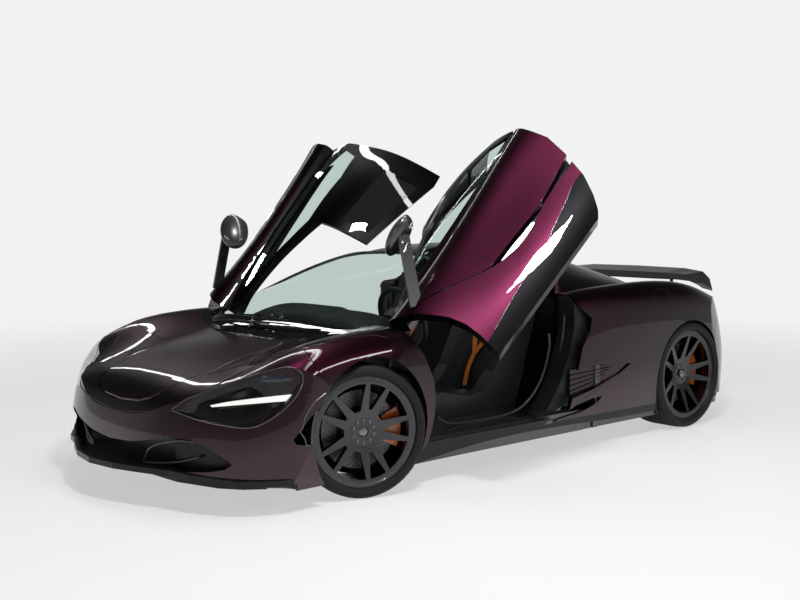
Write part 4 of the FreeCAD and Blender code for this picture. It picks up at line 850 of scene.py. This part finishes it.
# Body lines of the front, as they stand on the near side: wing ridges, a light grey lamp outline
# that is partly painted highlight, and vent outlines
INNER_RIDGE = ((0.422, -1.914, 0.589), (0.397, -1.751, 0.639), (0.372, -1.570, 0.680),
               (0.354, -1.400, 0.714))
WING_RIDGE = ((0.604, -1.915, 0.586), (0.665, -1.793, 0.647), (0.768, -1.693, 0.711),
              (0.847, -1.547, 0.758), (0.865, -1.350, 0.787), (0.879, -1.192, 0.791),
              (0.903, -1.108, 0.772))
LAMP_EDGE = ((0.477, -2.083, 0.471), (0.556, -2.027, 0.531), (0.671, -1.900, 0.600),
             (0.790, -1.820, 0.645), (0.850, -1.760, 0.670), (0.897, -1.699, 0.682),
             (0.927, -1.652, 0.648), (0.931, -1.663, 0.585), (0.920, -1.718, 0.515),
             (0.891, -1.809, 0.448), (0.847, -1.889, 0.415), (0.758, -1.971, 0.422),
             (0.638, -2.035, 0.440), (0.477, -2.083, 0.471))
BLADE_EDGE = ((0.960, -1.540, 0.551), (0.954, -1.600, 0.515), (0.951, -1.640, 0.470),
              (0.948, -1.660, 0.430), (0.950, -1.668, 0.370), (0.956, -1.632, 0.313))
SNAP_REACH = 0.025
cover_surface = surface_of("fixed_glass", "nose", "front_wing_left", "front_wing_right", "bonnet")
for side, name in SIDES:
    for label, line, radius, material, carrier in (
            ("wing_ridge_a_", INNER_RIDGE, 0.0022, paint, "bonnet"),
            ("wing_ridge_b_", WING_RIDGE, 0.0026, paint, "nose"),
            # The lamp outline is a light grey bead, partly the lamp's edge, partly a painted
            # highlight on it.
            ("lamp_edge_highlight_", LAMP_EDGE, 0.0020, edge_metal, "nose"),
            ("vent_blade_edge_", BLADE_EDGE, 0.0032, trim_grey, "nose")):
        path = []
        for place in smooth_path(mirrored(line, side), 5):
            near, normal, index, distance = cover_surface.find_nearest(place)
            path.append(near + normal * 0.0004 if distance < SNAP_REACH else place)
        line_piece(label + name, [path], radius, material, carrier)

# Windscreen wipers, just off the glass
WIPER_BLADES = (((-0.372, -1.224, 0.763), (-0.110, -1.236, 0.765), (0.250, -1.226, 0.767),
                 (0.474, -1.194, 0.775)),
                ((-0.430, -1.176, 0.785), (-0.300, -1.182, 0.792), (-0.080, -1.188, 0.794),
                 (0.161, -1.180, 0.797)))
WIPER_ARMS = (((-0.470, -1.250, 0.752), (-0.300, -1.238, 0.772), (-0.060, -1.245, 0.780),
               (0.070, -1.240, 0.782)),
              ((-0.060, -1.285, 0.748), (-0.090, -1.240, 0.782), (-0.130, -1.205, 0.800),
               (-0.140, -1.192, 0.806)))
for name, lines, lift, radius, material in (
        ("wiper_blades", WIPER_BLADES, 0.012, 0.0048, satin_black),
        ("wiper_arms", WIPER_ARMS, 0.010, 0.007, gloss_black)):
    paths = [[p + Vector((0, -0.006, lift)) for p in smooth_path(line)] for line in lines]
    line_piece(name, paths, radius, material, "tub")

# Door openings: two rubber seals each, (y, z)
OUTER_SEAL = ((0.357, 0.786), (0.332, 0.606), (0.280, 0.455), (0.199, 0.317), (0.094, 0.221),
              (-0.289, 0.209), (-0.587, 0.205), (-0.721, 0.165))
INNER_SEAL = ((0.265, 0.680), (0.267, 0.590), (0.203, 0.421), (0.070, 0.291), (-0.098, 0.242),
              (-0.372, 0.239), (-0.549, 0.249), (-0.638, 0.297))
body_surface = surface_of("tub", "canopy_frame", "lower_trim")


def seal_path(side, x, line):
    """A seal laid on the body where that is close by, and evened out."""
    path = []
    for place in smooth_path([(x * side, y, z) for y, z in line]):
        spot = land(body_surface, place + Vector((0.06 * side, 0, 0)), (-side, 0, 0), 0.002)
        close = spot is not None and abs(spot.x - place.x) < 0.03
        path.append(spot if close else place)
    evened = [(a + 2 * b + c) / 4 for a, b, c in zip(path, path[1:], path[2:])]
    return [path[0]] + evened + [path[-1]]


for side, name in SIDES:
    seals = [seal_path(side, 0.800, OUTER_SEAL), seal_path(side, 0.760, INNER_SEAL)]
    line_piece("door_seals_" + name, seals, 0.0075, seal_rubber, "tub")

# Flanks: panel seam, a gloss-black sheet of painted shade for the sill opening, louvred panel in
# the pointed opening, and filler flap
FLANK_SEAM = ((0.247, 0.269), (0.523, 0.349), (0.703, 0.417), (0.891, 0.470), (1.045, 0.4916))
PANEL_FOOT = ((0, 0.300, 0.288), (0, 0.520, 0.352), (0, 0.700, 0.420), (0, 0.800, 0.486))
PANEL_STEPS = 16
LOUVRES = 5
FLAP_MIDDLE = (1.146, 0.846)
FLAP_RADII = (0.093, 0.066)
FLAP_STEPS = 40


def flank_panel(side, name):
    panel = []
    for k in range(PANEL_STEPS + 1):
        u = k / PANEL_STEPS
        x, y, top = (0.893 + 0.050 * u) * side, 0.300 + 0.490 * u, 0.476 + 0.010 * u
        foot = sample(PANEL_FOOT, u).z
        panel.append((Vector((x, y, top)), Vector((x, y, min(foot, top)))))
    faces = [[2 * k, 2 * k + 1, 2 * k + 3, 2 * k + 2] for k in range(PANEL_STEPS)]
    mesh_piece("flank_panel_" + name, [p for pair in panel for p in pair], faces, paint,
               "quarter_" + name)
    slats = [[high.lerp(low, k / (LOUVRES + 1)) + Vector((0.002 * side, 0, 0))
              for high, low in panel[:13 - k]] for k in range(1, LOUVRES + 1)]
    line_piece("flank_louvres_" + name, slats, 0.0045, satin_black, "quarter_" + name)


for side, name in SIDES:
    flank = surface_of("quarter_" + name, "canopy_frame", "lower_trim")
    seam = smooth_path([(1.3 * side, y, z) for y, z in FLANK_SEAM])
    line_piece("flank_seam_" + name, [landed_path(flank, seam, (-side, 0, 0))], 0.0011,
               satin_black, "quarter_" + name)
    # A gloss-black sheet laid on the flank stands for the sill opening: painted shade.
    patch_piece("sill_opening_shade_" + name,
                [(side, 0.050, 0.200), (side, 0.240, 0.262), (side, 0.536, 0.304)],
                [(side, 0.060, 0.188), (side, 0.355, 0.222), (side, 0.546, 0.298)],
                flank, (-side, 0, 0), 0.0012, gloss_black, "quarter_" + name, 26, 6)
    flank_panel(side, name)
flap = [Vector((1.3, FLAP_MIDDLE[0] + FLAP_RADII[0] * math.cos(FULL_TURN * k / FLAP_STEPS),
                FLAP_MIDDLE[1] + FLAP_RADII[1] * math.sin(FULL_TURN * k / FLAP_STEPS)))
        for k in range(FLAP_STEPS)]
line_piece("filler_flap", [landed_path(surface_of("quarter_left"), flap, (-1, 0, 0))], 0.0012,
           satin_black, "quarter_left", True)

# Cabin: cushions, harness straps, the dashboard's padded top and the screens
CUSHION_INNER_X, CUSHION_OUTER_X = 0.228, 0.502
CUSHION_GRID = (36, 24)
CUSHION_RIBS = 4
STRAPS = (((0.262, 0.86), (0.268, 0.74), (0.280, 0.64), (0.302, 0.58), (0.326, 0.533)),
          ((0.440, 0.86), (0.420, 0.74), (0.385, 0.64), (0.355, 0.58), (0.330, 0.533)),
          ((0.328, 0.545), (0.320, 0.452), (0.335, 0.370), (0.348, 0.345)))
STRAP_HALF_WIDTH, STRAP_THICKNESS, STRAP_LIFT = 0.016, 0.003, 0.019
STRAP_FACING = Vector((0, -1, 0.45))
HOOD = ((-0.985, 0.775), (-0.940, 0.822), (-0.860, 0.852), (-0.770, 0.856), (-0.710, 0.828),
        (-0.672, 0.765))
HOOD_HALF_WIDTH = 0.565
HOOD_FOOT_Z = 0.765
HOOD_STEPS = 24
seat_surface = surface_of("seats")


def cushion_swell(height, share, u, v):
    """A rounded edge all round, and ribs along the share."""
    edge = min(1.0, 6 * min(u, 1 - u)) * min(1.0, 6 * min(v, 1 - v))
    return height * edge * (0.55 + 0.45 * abs(math.cos(math.pi * CUSHION_RIBS * share)))


def strap_piece(name, paths, material, node_name):
    """Flat webbing along paths that face the front of the car."""
    vertices, faces = [], []
    for path in paths:
        first = len(vertices)
        for k, place in enumerate(path):
            along = (path[min(k + 1, len(path) - 1)] - path[max(k - 1, 0)]).normalized()
            across = along.cross(STRAP_FACING.normalized()).normalized() * STRAP_HALF_WIDTH
            out = across.cross(along).normalized() * STRAP_THICKNESS
            vertices.extend([place - across, place + across, place + across + out,
                             place - across + out])
        for row in range(len(path) - 1):
            faces.extend(ring_faces(first, row, 4))
        last = first + 4 * (len(path) - 1)
        faces.append([first, first + 1, first + 2, first + 3])
        faces.append([last, last + 1, last + 2, last + 3])
    return mesh_piece(name, vertices, faces, material, node_name, False)


def dash_hood():
    """The padded top, lower before the driver's display and falling off at both ends."""
    line = smooth_path([(0, y, z) for y, z in HOOD], 4)
    rows = len(line)
    vertices, faces = [], []
    for k in range(HOOD_STEPS + 1):
        x = -HOOD_HALF_WIDTH + 2 * HOOD_HALF_WIDTH * k / HOOD_STEPS
        fall = 1.0 - abs(x / HOOD_HALF_WIDTH) ** 6
        share = 1.0 if x < 0.1 else 0.86
        for place in line:
            vertices.append((x, place.y, HOOD_FOOT_Z + (place.z - HOOD_FOOT_Z) * fall * share))
    for k in range(HOOD_STEPS):
        for a in range(k * rows, (k + 1) * rows - 1):
            faces.append([a, a + 1, a + 1 + rows, a + rows])
    mesh_piece("dash_hood", vertices, faces, dash_trim, "dashboard")


for side, name in SIDES:
    for label, start, end, direction, swell in (
            ("back_cushion_", (0, 0.370), (0, 0.860), (0, 1, 0),
             lambda u, v: cushion_swell(0.010, v, u, v)),
            ("seat_cushion_", (-0.500, 1.0), (-0.010, 1.0), (0, 0, -1),
             lambda u, v: cushion_swell(0.012, u, u, v))):
        edges = [[(x * side, *start), (x * side, *end)]
                 for x in (CUSHION_INNER_X, CUSHION_OUTER_X)]
        cushion = patch_piece(label + name, edges[0], edges[1], seat_surface, direction, 0.002,
                              leather, "seats", CUSHION_GRID[0], CUSHION_GRID[1], swell)
for side, name in SIDES:
    paths = [landed_path(seat_surface, smooth_path([(x * side, -1.0, z) for x, z in line], 5),
                         (0, 1, 0), STRAP_LIFT) for line in STRAPS]
    strap_piece("harness_" + name, paths, belt_web, "seats")
dash_hood()
dash_surface = surface_of("dashboard")
patch_piece("centre_screen", [(-0.060, 0.5, 0.690), (0.060, 0.5, 0.690)],
            [(-0.055, 0.5, 0.520), (0.055, 0.5, 0.520)],
            dash_surface, (0, -1, 0), 0.006, screen_glass, "dashboard", 8, 10)
patch_piece("driver_display", [(0.255, 0.5, 0.775), (0.435, 0.5, 0.775)],
            [(0.255, 0.5, 0.690), (0.435, 0.5, 0.690)],
            dash_surface, (0, -1, 0), 0.006, screen_glass, "dashboard", 10, 6)

# Studio: pale floor and backdrop, a low bright horizon, dark above, long soft lamps
STUDIO_COLOUR = (0.80, 0.80, 0.79)
SEEN_WHITE = (0.885, 0.893, 0.888)
FLOOR_ROUGHNESS = 0.14
FLOOR_NEAR, FLOOR_FAR = 0.88, 1.34
FLOOR_FADE_START, FLOOR_FADE_END = 2.0, 10.0
FLOOR_GLOW_SHARE = 0.60
GLOSSY_FLOOR_SHARE = 0.35
HORIZON_COLOUR = (0.30, 0.30, 0.305)
SKY_COLOUR = (0.020, 0.020, 0.022)
HORIZON_TOP, SKY_START = 0.02, 0.42


def sight_factor(tree):
    """1 for what the camera sees, straight or through glass."""
    ray = tree.nodes.new("ShaderNodeLightPath").outputs
    return maths(tree, "MAXIMUM", ray["Is Camera Ray"], ray["Is Transmission Ray"])


def smooth_step(tree, value, start, end, low=0.0, high=1.0):
    spread = tree.nodes.new("ShaderNodeMapRange")
    spread.interpolation_type = "SMOOTHSTEP"
    set_inputs(spread, {"From Min": start, "From Max": end, "To Min": low, "To Max": high})
    link(tree, value, spread.inputs["Value"])
    return spread.outputs[0]


def blend_shaders(tree, factor, first, second, target):
    mix = tree.nodes.new("ShaderNodeMixShader")
    link(tree, factor, mix.inputs[0])
    link(tree, first, mix.inputs[1])
    link(tree, second, mix.inputs[2])
    link(tree, mix.outputs[0], target.inputs["Surface"])


def studio_material(name, colour, roughness):
    """A pale floor that keeps its shadow and turns to white with distance."""
    material, tree, shader = new_material(name)
    set_inputs(shader, {"Roughness": roughness, "Specular IOR Level": 0.35})
    link(tree, mix_colours(tree, noise_factor(tree, 2.0), scaled(colour, 0.985), colour),
         shader.inputs["Base Color"])
    glow = tree.nodes.new("ShaderNodeEmission")
    glow.inputs["Color"].default_value = (1.0, 1.0, 0.995, 1.0)
    x, y, z = split(tree, object_position(tree))
    link(tree, smooth_step(tree, length_of(tree, x, y), FLOOR_FADE_START, FLOOR_FADE_END,
                           FLOOR_NEAR, FLOOR_FAR), glow.inputs["Strength"])
    ray = tree.nodes.new("ShaderNodeLightPath").outputs
    share = maths(tree, "ADD", product(tree, ray["Is Glossy Ray"], GLOSSY_FLOOR_SHARE),
                  product(tree, sight_factor(tree), FLOOR_GLOW_SHARE))
    blend_shaders(tree, share, shader.outputs[0], glow.outputs[0], tree.nodes["Material Output"])
    return material


def area_lamp(name, place, target, size_x, size_y, power):
    data = bpy.data.lights.new(name, "AREA")
    data.shape = "RECTANGLE"
    data.size, data.size_y, data.energy = size_x, size_y, power
    lamp = bpy.data.objects.new(name, data)
    bpy.context.scene.collection.objects.link(lamp)
    lamp.location = place
    lamp.rotation_mode = "QUATERNION"
    lamp.rotation_quaternion = (Vector(target) - Vector(place)).to_track_quat("-Z", "Y")
    return lamp


bpy.ops.mesh.primitive_plane_add(size=400, location=(0, 0, 0))
floor = bpy.context.object
floor.name = "studio_floor"
floor.data.materials.append(studio_material("studio_floor", STUDIO_COLOUR, FLOOR_ROUGHNESS))

world = bpy.data.worlds.new("studio")
bpy.context.scene.world = world
world.use_nodes = True
world_tree = world.node_tree
background = world_tree.nodes["Background"]
direction = split(world_tree, world_tree.nodes.new("ShaderNodeTexCoord").outputs["Generated"])
fade = smooth_step(world_tree, direction[2], HORIZON_TOP, SKY_START)
link(world_tree, mix_colours(world_tree, fade, HORIZON_COLOUR, SKY_COLOUR),
     background.inputs["Color"])
seen_background = world_tree.nodes.new("ShaderNodeBackground")
seen_background.inputs["Color"].default_value = (*SEEN_WHITE, 1.0)
blend_shaders(world_tree, sight_factor(world_tree), background.outputs[0],
              seen_background.outputs[0], world_tree.nodes["World Output"])

# Lamps: name, place, target, sizes in metres, watts
for number, x in enumerate((-2.6, -1.0, 1.3, 3.0)):
    area_lamp("ceiling_strip_%d" % number, (x, 0, 4.8), (x * 0.6, 0, 0), 0.16, 11, 34)
area_lamp("ceiling", (0.5, 1.0, 7.5), (0, 0, 0), 7, 7, 300).visible_glossy = False
area_lamp("door_glow", (2.6, -1.9, 4.7), (1.1, -0.3, 1.2), 0.65, 0.40, 210)
area_lamp("near_side", (7.0, 2.5, 3.6), (0, 0.8, 0.6), 5.0, 0.35, 70)
area_lamp("front_side", (1.5, -8.0, 3.8), (0, -1.0, 0.5), 5, 0.35, 70)

# Camera of the photograph
CAMERA_PLACE = (5.00416, -4.64337, 1.39677)
CAMERA_LENS = 49.47
CAMERA_YAW = math.radians(48.61)
CAMERA_PITCH = math.radians(-4.6)
camera_data = bpy.data.cameras.new("camera")
camera_data.sensor_width = 36.0
camera_data.lens = CAMERA_LENS
camera = bpy.data.objects.new("camera", camera_data)
bpy.context.scene.collection.objects.link(camera)
camera.location = CAMERA_PLACE
camera.rotation_mode = "QUATERNION"
level = math.cos(CAMERA_PITCH)
forward = Vector((-math.sin(CAMERA_YAW) * level, math.cos(CAMERA_YAW) * level,
                  math.sin(CAMERA_PITCH)))
camera.rotation_quaternion = forward.to_track_quat("-Z", "Y")
bpy.context.scene.camera = camera
bpy.context.scene.view_settings.view_transform = "Standard"
